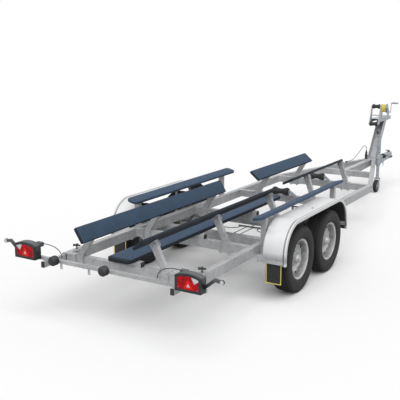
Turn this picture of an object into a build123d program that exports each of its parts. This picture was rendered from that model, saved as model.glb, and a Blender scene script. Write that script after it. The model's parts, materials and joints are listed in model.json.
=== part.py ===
from build123d import *
from math import cos, radians, sin, tan
import os

# Tandem-axle boat trailer: galvanised frame with a V drawbar, padded bunks, keel rollers,
# a winch post, an overrun coupling, a jockey wheel and a light board that pulls out of the rails.
# Millimetres. +Y points forward to the coupling, +X to the trailer's right, +Z up from the ground.

# Reach from the rear axle, back to the lamps' faces and forward to the coupling's tip
rear_reach = 1815
nose_reach = 5950
rear_axle_y = (rear_reach - nose_reach) / 2


def ahead(distance):
    """A place along the trailer, measured forward from the rear axle."""
    return rear_axle_y + distance


def behind_nose(distance):
    """A place along the trailer, measured back from the coupling's tip."""
    return rear_axle_y + nose_reach - distance


# Wheels and axles
tyre_radius = 325
tyre_half_width = 96
tread_half_width = 78
rim_flange_radius = 195
rim_seat_radius = 178
rim_half_width = 70
rim_flange_width = 8
rim_wall = 6
disc_face_x = 30
disc_rise = 18
hub_radius = 50
hub_cap_radius = 33
hub_cap_x = 80
drum_radius = 112
drum_depth = 78
drum_wall = 8
stub_radius = 22
wheel_slot_count = 12
wheel_slot_size = (34, 13)
half_track = 870
axle_gap = 86
bearing_clearance = 0.3
running_clearance = 6
axle_tube = 80
axle_lead = 150
axle_overhang = 11
arm_thickness = 38
arm_radius = 44
backplate_thickness = 5

# Frame of rectangular tube
wheel_to_rail = 85
rail_width = 60
rail_height = 96
rail_top = 519
rail_wall = 5
rail_corner = 6
rail_rear_y = ahead(-1495)
rail_front_y = ahead(2900)
cross_width = 60
cross_height = 80
keel_cross_y = [ahead(-1465), ahead(-450), ahead(650)]
front_cross_y = [ahead(1750), ahead(2865)]
drawbar_cross_y = ahead(3760)
spine_half_width = 40
spine_front_y = behind_nose(800)
apex_y = behind_nose(890)

# Mudguards and flaps
guard_width = 230
guard_end_gap = 95
guard_top_gap = 90
guard_bottom = 365
guard_corner = 290
guard_sheet = 3
guard_lip = 24
guard_bead = 5
guard_bead_width = 14
stay_width = 40
stay_thickness = 6
flap_width = 160
flap_bottom = 140
flap_overlap = 16
flap_thickness = 6
flap_corner = 18

# Padded boards: their size, span and, for the side ones, the inner lower edge above the mudguards
board_thickness = 28
board_width = 146
board_corner = 12
rear_bunk_span = (ahead(-1700), ahead(730))
front_bunk_span = (ahead(1300), ahead(2900))
side_bunk_span = (ahead(-450), ahead(1640))
side_bunk_inset = 47
side_bunk_lift = 35
side_bunk_tilt = 15
side_bunk_width = 120
side_bunk_corner = 50
bunk_table = [
    # node, side, outer edge's x and z, tilt, strut's foot in from the rail, strut's place up the board
    ("rear_bunks", -1, 345, 840, 57, 139, 73),
    ("rear_bunks", 1, 345, 840, 37, 234, 40),
    ("front_bunks", -1, 260, 860, 40, 249, 73),
    ("front_bunks", 1, 270, 825, 27, 284, 110),
]
strut_width = 60
strut_depth = 40
side_post_y = [ahead(-310), ahead(1410)]
side_post_width = 50
side_post_drop = 23
clamp_plate = (130, 90, 8)
clamp_rod_radius = 6

# Keel plank and keel rollers
keel_span = (ahead(-1590), ahead(1350))
keel_half_width = 118
keel_top = 596
keel_thickness = 34
keel_chamfer = 40
keel_tube_half = 163
keel_tube_width = 50
keel_roller_back = 165
keel_roller_z = 596
keel_roller_radius = 50
keel_roller_waist = 32
keel_roller_half = 100
roller_pin_radius = 8
bracket_sheet = 6

# Winch post, bow stop and winch
post_foot_y = behind_nose(960)
post_head_y = behind_nose(524)
post_half_width = 60
post_half_depth = 60
post_sheet = 6
saddle_z = 1130
saddle_sheet = 8
saddle_flange = 48
saddle_span = (behind_nose(910), behind_nose(290))
bow_plate = 8
bow_plate_radius = 22
bow_roller_radius = 38
bow_roller_waist = 26
bow_roller_half = 58
bow_roller_places = [("low", behind_nose(960), 1060), ("high", behind_nose(865), 1325)]
winch_y = behind_nose(450)
winch_z = 1263
winch_plate_half = 58
drum_core_radius = 28
drum_flange_radius = 66
drum_flange = 4
strap_radius = 62
gear_module = 3.5
gear_teeth = 40
pinion_teeth = 10
gear_face = 8
mesh_angle = -45
crank_length = 150
crank_angle = 75
grip_radius = 15
grip_length = 105

# Coupling and handbrake
housing_half_width = 55
housing_front_y = behind_nose(620)
collar_y = behind_nose(520)
collar_radius = 38
shaft_radius = 25
bellows_front_y = behind_nose(350)
bellows_radius = 42
bellows_pleats = 6
coupling_z = 468
head_radius = 42
head_bottom = 432
head_top = 506
head_fillet = 14
socket_radius = 25.5
socket_depth = 24
handle_width = 24
lever_x = 90
lever_pivot = (behind_nose(750), 456)
lever_tip = (behind_nose(350), 452)
lever_boss_radius = 26
lever_pin_radius = 14
lever_end_radius = 12
lever_thickness = 10
lever_grip_length = 140

# Jockey wheel
jockey_y = behind_nose(1020)
jockey_tube_radius = 30
jockey_inner_radius = 24
jockey_tube_span = (400, 860)
jockey_inner_top = 640
jockey_wheel_radius = 100
jockey_wheel_half = 27
jockey_trail = 45
jockey_clamp_wall = 10
jockey_clamp_gap = 3
jockey_clamp_inset = 12
jockey_crank_length = 100
fork_crown_z = (208, 228)
fork_plate = 6

# Light board
slide_width = 30
slide_height = 50
slide_gap = 2
slide_front_y = ahead(-700)
slide_overhang = 50
cap_thickness = 10
bar_half_length = 930
bar_size = 30
lamp_x = 823
lamp_width = 230
lamp_height = 146
lamp_shoulder = 122
lamp_depth = 62
lamp_lift = 14
lens_depth = 18
lens_inset = 9
lamp_plate = 3
clear_corner = [
    # shares of the lens: out from its middle, down from its top
    (0.55, -0.1), (1.1, -0.1), (1.1, 0.15), (0.74, 0.52),
]
marker_bend = (1030, 645)
marker_end = (1090, 636)
marker_root_z = 570
marker_arm_radius = 13
marker_radius = 18
plate_lamp_x = [-548, -14]
plate_lamp_z = 535
plate_lamp_radius = 42
plate_lamp_depth = 34
plate_tab_x = [-485, -185]
plate_tab = (24, 75)
plate_hole_radius = 4.5
boot_x = (705, 765)
boot_z = (628, 664)
lead_radius = 3.5
lead_gland_radius = 10
lead_points = [
    # distance from the middle, z
    (705, 656), (635, 656), (560, 643), (517, 619), (496, 593), (489, 570), (489, 552),
]
clamp_screw_y = ahead(-1330)
clamp_screw_radius = 6
screw_height = 34
screw_handle = 76

# Brake rod, equaliser and cables
brake_rod_radius = 5
brake_rod_drop = 15
brake_rod_front = (behind_nose(770), 408)
equaliser_half = 150
equaliser_gap = 40
hanger_sheet = 6
rod_end = 14
brake_cable_radius = 4
cable_entry = 70
cable_table = [
    # start from the middle, axle, bend
    (110, 1, 110),
    (40, 0, 400),
]

# Front cable from a gland on the left beam to its plug, parked ahead of it
front_cable_radius = 4
cable_gland = (22, 30, 18)
plug_profile = [
    # radius, height above the beam
    (26, 0), (26, 8), (20, 8), (20, 41), (24, 41), (24, 56), (18, 61), (18, 96), (10, 121), (10, 131),
]
front_cable_points = [
    # x, distance behind the nose, z
    (-203, 1550, 528), (-203, 1505, 528), (-182, 1430, 526), (-160, 1350, 548), (-138, 1270, 600),
    (-115, 1200, 660), (-100, 1155, 712), (-80, 1114, 728), (-66, 1082, 716), (-60, 1068, 684),
    (-60, 1068, 650),
]

# Places worked out from the sizes above
rail_outer_x = half_track - tyre_half_width - wheel_to_rail
rail_inner_x = rail_outer_x - rail_width
rail_bottom = rail_top - rail_height
cross_bottom = rail_top - cross_height
axle_spacing = 2 * tyre_radius + axle_gap
axle_places = [rear_axle_y, rear_axle_y + axle_spacing]
wheel_corners = [
    ("rear_left", -1, axle_places[0]),
    ("rear_right", 1, axle_places[0]),
    ("front_left", -1, axle_places[1]),
    ("front_right", 1, axle_places[1]),
]
guard_inner_x = half_track - guard_width / 2
guard_outer_x = half_track + guard_width / 2
guard_rear_y = axle_places[0] - tyre_radius - guard_end_gap
guard_front_y = axle_places[1] + tyre_radius + guard_end_gap
guard_top = 2 * tyre_radius + guard_top_gap
side_bunk_z = guard_top + side_bunk_lift
drawbar_slope = (rail_outer_x - spine_half_width) / (apex_y - rail_front_y)
slide_x = rail_outer_x - rail_width / 2
slide_top = rail_top - rail_wall - slide_gap
bar_bottom = slide_top
bar_top = bar_bottom + bar_size
lamp_bottom = bar_bottom + lamp_lift
lamp_face_y = ahead(-rear_reach) + lens_depth
lamp_rear_y = lamp_face_y + lamp_depth
bar_rear_y = lamp_rear_y + lamp_plate
bar_y = bar_rear_y + bar_size / 2
slide_span = (bar_y - slide_overhang, slide_front_y)
ball_y = behind_nose(head_radius)

os.makedirs("parts", exist_ok=True)


def keep(piece, name):
    """Label a finished piece and write it out."""
    piece.part.label = name
    export_step(piece.part, f"parts/{name}.step")


def block(x_span, y_span, z_span):
    """A box between two corners."""
    centre = [sum(span) / 2 for span in (x_span, y_span, z_span)]
    size = [max(span) - min(span) for span in (x_span, y_span, z_span)]
    with Locations(tuple(centre)):
        Box(*size)


def across(x):
    """The side view at x: its own axes are Y and Z."""
    return Plane.YZ.offset(x)


def facing_back(y):
    """The end view at y: its own axes are X and Z, and it faces the rear."""
    return Plane.XZ.offset(-y)


def rod_between(start, end, radius, mode=Mode.ADD):
    """A round bar from one point to another."""
    run = Vector(end) - Vector(start)
    with Locations(Plane(Vector(start) + run * 0.5, z_dir=run)):
        Cylinder(radius, run.length, mode=mode)


def rod_x(x_span, y, z, radius, mode=Mode.ADD):
    """A round bar along X."""
    rod_between((x_span[0], y, z), (x_span[1], y, z), radius, mode)


def rod_y(x, y_span, z, radius, mode=Mode.ADD):
    """A round bar along Y."""
    rod_between((x, y_span[0], z), (x, y_span[1], z), radius, mode)


def rod_z(x, y, z_span, radius, mode=Mode.ADD):
    """A round bar along Z."""
    rod_between((x, y, z_span[0]), (x, y, z_span[1]), radius, mode)


def largest_bends(points):
    """The largest radius that each corner of a cord's route leaves room for."""
    places = [Vector(point) for point in points]
    runs = [end - start for start, end in zip(places, places[1:])]
    bends = []
    for before, after in zip(runs, runs[1:]):
        half_turn = radians(before.get_angle(after) / 2)
        bends.append(0.45 * min(before.length, after.length) / tan(half_turn))
    return bends


def cord_section(points, radius):
    """The cord's round section at the start of its route."""
    start = Vector(points[0])
    with BuildSketch(Plane(start, z_dir=Vector(points[1]) - start), mode=Mode.PRIVATE) as section:
        Circle(radius)
    return section.sketch


# Side rails: open at the rear, where the light board's tubes slide in on their guides
with BuildPart() as side_rails:
    with BuildSketch(facing_back(rail_rear_y)):
        with Locations((slide_x, rail_top - rail_height / 2)):
            RectangleRounded(rail_width, rail_height, rail_corner)
            Rectangle(rail_width - 2 * rail_wall, rail_height - 2 * rail_wall, mode=Mode.SUBTRACT)
    extrude(amount=rail_rear_y - rail_front_y)
    block((slide_x - slide_width / 2, slide_x + slide_width / 2), (rail_rear_y, slide_front_y),
          (rail_bottom + rail_wall, slide_top - slide_height - bearing_clearance))
    rod_z(slide_x, clamp_screw_y, (rail_top - 2 * rail_wall, rail_top + rail_wall),
          clamp_screw_radius + bearing_clearance, mode=Mode.SUBTRACT)
    mirror(about=Plane.YZ)
keep(side_rails, "side_rails")

# Crossmembers between the rails, and one between the drawbar's beams
drawbar_cross_rear = drawbar_cross_y - cross_width / 2
drawbar_cross_front = drawbar_cross_y + cross_width / 2
with BuildPart() as crossmembers:
    for y in keel_cross_y + front_cross_y:
        block((-rail_inner_x, rail_inner_x), (y - cross_width / 2, y + cross_width / 2),
              (cross_bottom, rail_top))
    with BuildSketch(Plane.XY.offset(cross_bottom)):
        with BuildLine():
            rear_half = rail_inner_x - drawbar_slope * (drawbar_cross_rear - rail_front_y)
            front_half = rail_inner_x - drawbar_slope * (drawbar_cross_front - rail_front_y)
            Polyline((-rear_half, drawbar_cross_rear), (rear_half, drawbar_cross_rear),
                     (front_half, drawbar_cross_front), (-front_half, drawbar_cross_front), close=True)
        make_face()
    extrude(amount=cross_height)
keep(crossmembers, "crossmembers")

# Drawbar beams running in from the rails to the spine
with BuildPart() as drawbar_beams:
    with BuildSketch(Plane.XY.offset(rail_bottom)):
        with BuildLine():
            inner_apex_y = rail_front_y + (rail_inner_x - spine_half_width) / drawbar_slope
            Polyline((rail_inner_x, rail_front_y), (rail_outer_x, rail_front_y),
                     (spine_half_width, apex_y), (spine_half_width, inner_apex_y), close=True)
        make_face()
    extrude(amount=rail_height)
    mirror(about=Plane.YZ)
keep(drawbar_beams, "drawbar_beams")


def beam_face_x(y):
    """The outer face of the right drawbar beam."""
    return rail_outer_x - drawbar_slope * (y - rail_front_y)


# Spine from the drawbar's crossmember to the coupling
with BuildPart() as drawbar_spine:
    block((-spine_half_width, spine_half_width), (drawbar_cross_front, spine_front_y),
          (rail_bottom, rail_top))
keep(drawbar_spine, "drawbar_spine")

# Rubber-sprung axle tubes under the rails
arm_inner_x = rail_outer_x + axle_overhang
axle_bottom = rail_bottom - axle_tube
with BuildPart() as axle_tubes:
    for y in axle_places:
        tube_y = y + axle_lead
        block((-arm_inner_x, arm_inner_x), (tube_y - axle_tube / 2, tube_y + axle_tube / 2),
              (axle_bottom, rail_bottom))
keep(axle_tubes, "axle_tubes")

# Swing arms with their stub axles and brake backplates
arm_outer_x = arm_inner_x + arm_thickness
pivot_z = rail_bottom - axle_tube / 2
drum_inner_x = half_track + disc_face_x - drum_depth
backplate_x = drum_inner_x - running_clearance
backplate_inner_x = backplate_x - backplate_thickness
stub_end_x = half_track + disc_face_x + hub_radius / 2
with BuildPart() as swing_arms:
    for y in axle_places:
        with BuildSketch(across(arm_inner_x)):
            with Locations((y + axle_lead, pivot_z), (y, tyre_radius)):
                Circle(arm_radius)
            make_hull()
        extrude(amount=arm_thickness)
        rod_x((arm_outer_x, stub_end_x), y, tyre_radius, stub_radius)
        rod_x((backplate_inner_x, backplate_x), y, tyre_radius, drum_radius)
    mirror(about=Plane.YZ)
keep(swing_arms, "swing_arms")

# Road wheels: a tyre on a steel wheel with its hub and brake drum
bead_half = rim_half_width - rim_flange_width
bulge_radius = (rim_flange_radius + tyre_radius) / 2
wheel_slot_radius = (drum_radius + rim_seat_radius) / 2
for corner, side, axle_y in wheel_corners:
    hub_centre = (side * half_track, axle_y, tyre_radius)
    wheel_plane = Plane(hub_centre, x_dir=(side, 0, 0), z_dir=(0, -side, 0))
    wheel_axis = Axis(hub_centre, (side, 0, 0))
    with BuildPart() as tyre:
        with BuildSketch(wheel_plane):
            with BuildLine():
                seat = rim_seat_radius + bearing_clearance
                Polyline((-bead_half, seat), (bead_half, seat), (tyre_half_width, bulge_radius),
                         (tread_half_width, tyre_radius), (-tread_half_width, tyre_radius),
                         (-tyre_half_width, bulge_radius), close=True)
            make_face()
        revolve(axis=wheel_axis)
    keep(tyre, f"tyre_{corner}")

    flange_x = rim_half_width + rim_flange_width
    bore = stub_radius + bearing_clearance
    drum_back_x = disc_face_x - drum_depth
    stub_room = stub_end_x - half_track + rim_wall
    with BuildPart() as wheel:
        with BuildSketch(wheel_plane):
            with BuildLine():
                Polyline((-flange_x, rim_flange_radius), (-rim_half_width, rim_flange_radius),
                         (-rim_half_width, rim_seat_radius), (rim_half_width, rim_seat_radius),
                         (rim_half_width, rim_flange_radius), (flange_x, rim_flange_radius),
                         (flange_x, rim_seat_radius - rim_wall), (-flange_x, rim_seat_radius - rim_wall),
                         close=True)
            make_face()
            with BuildLine():
                disc_out = disc_face_x + rim_wall
                slot_in = wheel_slot_radius - wheel_slot_size[1]
                slot_out = wheel_slot_radius + wheel_slot_size[1]
                rim_in = rim_seat_radius - 1
                Polyline((disc_face_x, hub_radius - rim_wall), (disc_out, hub_radius - rim_wall),
                         (disc_out, drum_radius - rim_wall), (disc_out + disc_rise, slot_in),
                         (disc_out + disc_rise, slot_out), (disc_out + rim_wall, rim_in),
                         (disc_face_x + rim_wall, rim_in), (disc_face_x + disc_rise, slot_out),
                         (disc_face_x + disc_rise, slot_in), (disc_face_x, drum_radius), close=True)
            make_face()
            with BuildLine():
                cap_foot_x = hub_cap_x - disc_rise
                Polyline((drum_back_x, drum_radius), (disc_face_x, drum_radius), (disc_face_x, hub_radius),
                         (cap_foot_x - drum_wall, hub_radius), (cap_foot_x, hub_cap_radius + rim_wall),
                         (cap_foot_x, hub_cap_radius), (hub_cap_x - rim_wall, hub_cap_radius),
                         (hub_cap_x, hub_cap_radius - rim_wall), (hub_cap_x, 0), (stub_room, 0),
                         (stub_room, bore), (disc_face_x - drum_wall, bore),
                         (disc_face_x - drum_wall, drum_radius - drum_wall),
                         (drum_back_x, drum_radius - drum_wall), close=True)
            make_face()
        revolve(axis=wheel_axis)
        with BuildSketch(Plane(hub_centre, x_dir=(0, 1, 0), z_dir=(side, 0, 0)).offset(disc_face_x)):
            with PolarLocations(wheel_slot_radius, wheel_slot_count):
                SlotOverall(*wheel_slot_size, rotation=90)
        extrude(amount=rim_half_width, mode=Mode.SUBTRACT)
    keep(wheel, f"wheel_{corner}")


def guard_outline(inset):
    """A mudguard seen from the side, with its edge moved in by inset."""
    rear, front, top = guard_rear_y + inset, guard_front_y - inset, guard_top - inset
    with BuildSketch(mode=Mode.PRIVATE) as outline:
        with BuildLine():
            FilletPolyline((rear, guard_bottom), (rear, top), (front, top), (front, guard_bottom),
                           radius=guard_corner - inset)
            Line((front, guard_bottom), (rear, guard_bottom))
        make_face()
    return outline.sketch


# Mudguards: one sheet over both wheels on each side, with a turned-in lip and a rolled outer edge
guard_rows = [
    # outer inset, inner inset, start, width
    (0, guard_sheet, guard_inner_x, guard_width),
    (0, guard_lip, guard_outer_x - guard_sheet, guard_sheet),
    (-guard_bead, guard_sheet, guard_outer_x - guard_bead_width, guard_bead_width),
]
for name, side in (("left", -1), ("right", 1)):
    with BuildPart() as mudguard:
        for outer_inset, inner_inset, start, width in guard_rows:
            with BuildSketch(across(side * start)):
                add(guard_outline(outer_inset))
                add(guard_outline(inner_inset), mode=Mode.SUBTRACT)
            extrude(amount=side * width)
    keep(mudguard, f"mudguard_{name}")

# Stays that carry the mudguards off the rails
stay_reach = guard_outer_x - guard_lip
stay_mid_y = rear_axle_y + axle_spacing / 2
with BuildPart() as mudguard_stays:
    for wall_y in (guard_rear_y + guard_sheet + stay_thickness / 2,
                   guard_front_y - guard_sheet - stay_thickness / 2):
        block((rail_outer_x, stay_reach), (wall_y - stay_thickness / 2, wall_y + stay_thickness / 2),
              (rail_bottom - stay_width / 2, rail_bottom + stay_width / 2))
    stay_y = (stay_mid_y - stay_width / 2, stay_mid_y + stay_width / 2)
    stay_top = guard_top - guard_sheet
    block((rail_outer_x, rail_outer_x + stay_thickness), stay_y, (rail_bottom, stay_top))
    block((rail_outer_x, stay_reach), stay_y, (stay_top - stay_thickness, stay_top))
    mirror(about=Plane.YZ)
keep(mudguard_stays, "mudguard_stays")

# Rubber flaps behind the mudguards
with BuildPart() as mudflaps:
    with BuildSketch(facing_back(guard_rear_y)):
        with Locations((half_track, (flap_bottom + guard_bottom + flap_overlap) / 2)):
            RectangleRounded(flap_width, guard_bottom + flap_overlap - flap_bottom, flap_corner)
    extrude(amount=flap_thickness)
    mirror(about=Plane.YZ)
keep(mudflaps, "mudflaps")


def board_slope(side, tilt):
    """The direction up a board's face, away from the keel."""
    return Vector(side * cos(radians(tilt)), 0, sin(radians(tilt)))


def board_normal(side, tilt):
    """The direction off a board's face, towards the hull."""
    return Vector(-side * sin(radians(tilt)), 0, cos(radians(tilt)))


def face_plane(side, outer_edge, tilt, width, span):
    """A board's padded face: its own X runs forward, and it faces the hull."""
    middle = Vector(outer_edge[0], sum(span) / 2, outer_edge[1]) - board_slope(side, tilt) * (width / 2)
    return Plane(middle, x_dir=(0, 1, 0), z_dir=board_normal(side, tilt))


# Padded boards that carry the hull, set to its shape on each side
bunk_places = {
    "rear_bunks": (rear_bunk_span, keel_cross_y),
    "front_bunks": (front_bunk_span, front_cross_y),
}
for name, (span, cross_places) in bunk_places.items():
    with BuildPart() as bunks:
        for node, side, edge_x, edge_z, tilt, foot_inset, strut_reach in bunk_table:
            if node == name:
                with BuildSketch(face_plane(side, (side * edge_x, edge_z), tilt, board_width, span)):
                    RectangleRounded(span[1] - span[0], board_width, board_corner)
                extrude(amount=-board_thickness)
    keep(bunks, name)

side_bunk_edge = (rail_outer_x - side_bunk_inset, side_bunk_z)
side_bunk_lower = Vector(side_bunk_edge[0], 0, side_bunk_edge[1])
side_bunk_outer = side_bunk_lower + board_slope(1, side_bunk_tilt) * side_bunk_width
with BuildPart() as side_bunks:
    outer_edge = (side_bunk_outer.X, side_bunk_outer.Z)
    with BuildSketch(face_plane(1, outer_edge, side_bunk_tilt, side_bunk_width, side_bunk_span)):
        RectangleRounded(side_bunk_span[1] - side_bunk_span[0], side_bunk_width, side_bunk_corner)
    extrude(amount=-board_thickness)
    mirror(about=Plane.YZ)
keep(side_bunks, "side_bunks")

# Struts from the crossmembers up to the backs of the bunks
clamp_feet = []
with BuildPart() as bunk_struts:
    for node, side, edge_x, edge_z, tilt, foot_inset, strut_reach in bunk_table:
        foot_x = side * (rail_inner_x - foot_inset)
        slope = board_slope(side, tilt)
        face = Vector(side * edge_x, 0, edge_z) - slope * (board_width - strut_reach)
        back = face - board_normal(side, tilt) * board_thickness
        upper = back + slope * (strut_width / 2)
        lower = back - slope * (strut_width / 2)
        for y in bunk_places[node][1]:
            clamp_feet.append((foot_x, y))
            with BuildSketch(facing_back(y - strut_depth / 2)):
                with BuildLine():
                    Polyline((foot_x - side * strut_width / 2, rail_top),
                             (foot_x + side * strut_width / 2, rail_top),
                             (upper.X, upper.Z), (lower.X, lower.Z), close=True)
                make_face()
            extrude(amount=-strut_depth)
keep(bunk_struts, "bunk_struts")

# Posts on the rails' sides under the side bunks
with BuildPart() as side_posts:
    side_back = side_bunk_lower - board_normal(1, side_bunk_tilt) * board_thickness
    post_outer_x = rail_outer_x + side_post_width
    post_bottom = rail_bottom - side_post_drop
    rise = tan(radians(side_bunk_tilt))
    for y in side_post_y:
        with BuildSketch(facing_back(y - side_post_width / 2)):
            with BuildLine():
                Polyline((rail_outer_x, post_bottom), (post_outer_x, post_bottom),
                         (post_outer_x, side_back.Z + rise * (post_outer_x - side_back.X)),
                         (rail_outer_x, side_back.Z + rise * (rail_outer_x - side_back.X)), close=True)
            make_face()
        extrude(amount=-side_post_width)
    mirror(about=Plane.YZ)
keep(side_posts, "side_posts")

# Clamp plates under the struts' crossmembers, with their rods
with BuildPart() as strut_clamps:
    for foot_x, y in clamp_feet:
        block((foot_x - clamp_plate[0] / 2, foot_x + clamp_plate[0] / 2),
              (y - clamp_plate[1] / 2, y + clamp_plate[1] / 2),
              (cross_bottom - clamp_plate[2], cross_bottom))
        rod_offset = strut_width / 2 + 2 * clamp_rod_radius
        for x in (foot_x - rod_offset, foot_x + rod_offset):
            for rod_place in (y - cross_width / 2 - clamp_rod_radius, y + cross_width / 2 + clamp_rod_radius):
                rod_z(x, rod_place, (cross_bottom - 3 * clamp_plate[2], rail_top + clamp_plate[2]),
                      clamp_rod_radius)
            block((x - clamp_rod_radius, x + clamp_rod_radius),
                  (y - clamp_plate[1] / 2, y + clamp_plate[1] / 2), (rail_top, rail_top + clamp_plate[2]))
keep(strut_clamps, "strut_clamps")

# Keel plank with cut rear corners, on short cross tubes
with BuildPart() as keel_plank:
    block((-keel_half_width, keel_half_width), keel_span, (keel_top - keel_thickness, keel_top))
    chamfer(keel_plank.edges().filter_by(Axis.Z).group_by(Axis.Y)[0], keel_chamfer)
keep(keel_plank, "keel_plank")

with BuildPart() as keel_tubes:
    for y in keel_cross_y:
        block((-keel_tube_half, keel_tube_half), (y - keel_tube_width / 2, y + keel_tube_width / 2),
              (rail_top, keel_top - keel_thickness))
keep(keel_tubes, "keel_tubes")

# Keel rollers behind the front crossmembers, each on a pin between two arms
keel_arm_x = keel_roller_half + running_clearance
with BuildPart() as keel_brackets:
    for y in front_cross_y:
        axis_y = y - keel_roller_back
        for x in (-keel_arm_x - bracket_sheet, keel_arm_x):
            with BuildSketch(across(x)):
                with Locations((axis_y, keel_roller_z)):
                    Circle(3 * roller_pin_radius)
                with Locations((y, rail_top + bracket_sheet / 2)):
                    Rectangle(cross_width, bracket_sheet)
                make_hull()
            extrude(amount=bracket_sheet)
        block((-keel_arm_x, keel_arm_x), (y - cross_width / 2, y + cross_width / 2),
              (rail_top, rail_top + bracket_sheet))
        rod_x((-keel_arm_x, keel_arm_x), axis_y, keel_roller_z, roller_pin_radius)
keep(keel_brackets, "keel_brackets")


def waisted_roller(half, radius, waist, y, z, pin_radius):
    """A rubber roller with tapers to its waist, bored for its pin."""
    end = half / 5
    with BuildPart() as roller:
        with BuildSketch(Plane((0, y, z), x_dir=(1, 0, 0), z_dir=(0, -1, 0))):
            with BuildLine():
                Polyline((-half, pin_radius), (half, pin_radius), (half, radius - end / 2),
                         (half - end, radius), (end, waist), (-end, waist), (-half + end, radius),
                         (-half, radius - end / 2), close=True)
            make_face()
        revolve(axis=Axis((0, y, z), (1, 0, 0)))
    return roller


for name, y in zip(("rear", "front"), front_cross_y):
    keep(waisted_roller(keel_roller_half, keel_roller_radius, keel_roller_waist, y - keel_roller_back,
                        keel_roller_z, roller_pin_radius + bearing_clearance), f"keel_roller_{name}")

# Winch post: a channel open to the rear, leaning forward over the coupling
with BuildPart() as winch_post:
    for x, width, rear in ((-post_half_width, post_sheet, -post_half_depth),
                           (post_half_width - post_sheet, post_sheet, -post_half_depth),
                           (-post_half_width, 2 * post_half_width, post_half_depth - post_sheet)):
        with BuildSketch(across(x)):
            with BuildLine():
                Polyline((post_foot_y + rear, rail_top), (post_foot_y + post_half_depth, rail_top),
                         (post_head_y + post_half_depth, saddle_z), (post_head_y + rear, saddle_z),
                         close=True)
            make_face()
        extrude(amount=width)
    block((-post_half_width, post_half_width), (post_foot_y - post_half_depth, post_foot_y + post_half_depth),
          (rail_top, rail_top + post_sheet))
keep(winch_post, "winch_post")

# Saddle over the post's head that carries the winch and reaches back to the bow stop
saddle_half = post_half_width + post_sheet
with BuildPart() as winch_saddle:
    block((-saddle_half, saddle_half), saddle_span, (saddle_z, saddle_z + saddle_sheet))
    for x_span in ((-saddle_half, -post_half_width), (post_half_width, saddle_half)):
        block(x_span, saddle_span, (saddle_z - saddle_flange, saddle_z + saddle_sheet))
keep(winch_saddle, "winch_saddle")

# Bow stop: two plates beside the saddle, with pins for the rollers and a cross rod
low_roller, high_roller = [place[1:] for place in bow_roller_places]
with BuildPart() as bow_stop:
    for x in (-saddle_half - bow_plate, saddle_half):
        with BuildSketch(across(x)):
            with Locations(low_roller, high_roller):
                Circle(bow_plate_radius)
            with Locations((saddle_span[0] + bow_roller_radius, saddle_z - saddle_flange / 2)):
                Rectangle(bow_roller_radius, saddle_flange)
            make_hull()
        extrude(amount=bow_plate)
    for y, z in (low_roller, high_roller):
        rod_x((-saddle_half, saddle_half), y, z, roller_pin_radius)
    rod_x((-saddle_half, saddle_half), (low_roller[0] + high_roller[0]) / 2,
          (low_roller[1] + high_roller[1]) / 2, roller_pin_radius)
keep(bow_stop, "bow_stop")

for name, y, z in bow_roller_places:
    keep(waisted_roller(bow_roller_half, bow_roller_radius, bow_roller_waist, y, z,
                        roller_pin_radius + bearing_clearance), f"bow_roller_{name}")

# Winch frame: two plates on a base, with the drum's fixed pin
gear_radius = gear_module * gear_teeth / 2
pinion_radius = gear_module * pinion_teeth / 2
mesh_distance = gear_radius + pinion_radius
crank_y = winch_y + mesh_distance * cos(radians(mesh_angle))
crank_z = winch_z + mesh_distance * sin(radians(mesh_angle))
winch_base_z = saddle_z + saddle_sheet
winch_base_y = (winch_y + crank_y) / 2
winch_base_half = mesh_distance / 1.5
plate_inner = winch_plate_half - bracket_sheet
with BuildPart() as winch_frame:
    for x in (-winch_plate_half, plate_inner):
        with BuildSketch(across(x)):
            with Locations((winch_y, winch_z), (crank_y, crank_z)):
                Circle(3 * roller_pin_radius)
            with Locations((winch_base_y, winch_base_z + bracket_sheet / 2)):
                Rectangle(2 * winch_base_half, bracket_sheet)
            make_hull()
        extrude(amount=bracket_sheet)
    block((-winch_plate_half, winch_plate_half),
          (winch_base_y - winch_base_half, winch_base_y + winch_base_half),
          (winch_base_z, winch_base_z + bracket_sheet))
    rod_x((-plate_inner, plate_inner), winch_y, winch_z, roller_pin_radius)
    rod_x((plate_inner, winch_plate_half), crank_y, crank_z, roller_pin_radius + bearing_clearance,
          mode=Mode.SUBTRACT)
keep(winch_frame, "winch_frame")


def gear_outline(teeth, turn):
    """Corner points of a spur gear's straight-sided teeth, the first tooth centred on turn."""
    pitch = gear_module * teeth / 2
    step = 360 / teeth
    points = []
    for tooth in range(teeth):
        # share of the tooth step, height above the pitch circle in modules
        for share, height in ((-0.32, -1.25), (-0.11, 0.9), (0.11, 0.9), (0.32, -1.25)):
            angle = radians(turn + (tooth + share) * step)
            reach = pitch + height * gear_module
            points.append((reach * cos(angle), reach * sin(angle)))
    return points


# Winch drum with its gear, and the strap wound on it
drum_half = plate_inner - running_clearance
with BuildPart() as winch_drum:
    rod_x((-drum_half, drum_half), winch_y, winch_z, drum_core_radius)
    for x in (-drum_half, drum_half - gear_face - drum_flange):
        rod_x((x, x + drum_flange), winch_y, winch_z, drum_flange_radius)
    with BuildSketch(Plane((drum_half - gear_face, winch_y, winch_z), x_dir=(0, 1, 0), z_dir=(1, 0, 0))):
        with BuildLine():
            Polyline(*gear_outline(gear_teeth, mesh_angle), close=True)
        make_face()
    extrude(amount=gear_face)
    rod_x((-drum_half, drum_half), winch_y, winch_z, roller_pin_radius + bearing_clearance,
          mode=Mode.SUBTRACT)
keep(winch_drum, "winch_drum")

with BuildPart() as winch_strap:
    strap_span = (-drum_half + drum_flange, drum_half - gear_face - drum_flange)
    rod_x(strap_span, winch_y, winch_z, strap_radius)
    rod_x(strap_span, winch_y, winch_z, drum_core_radius, mode=Mode.SUBTRACT)
keep(winch_strap, "winch_strap")

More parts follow.
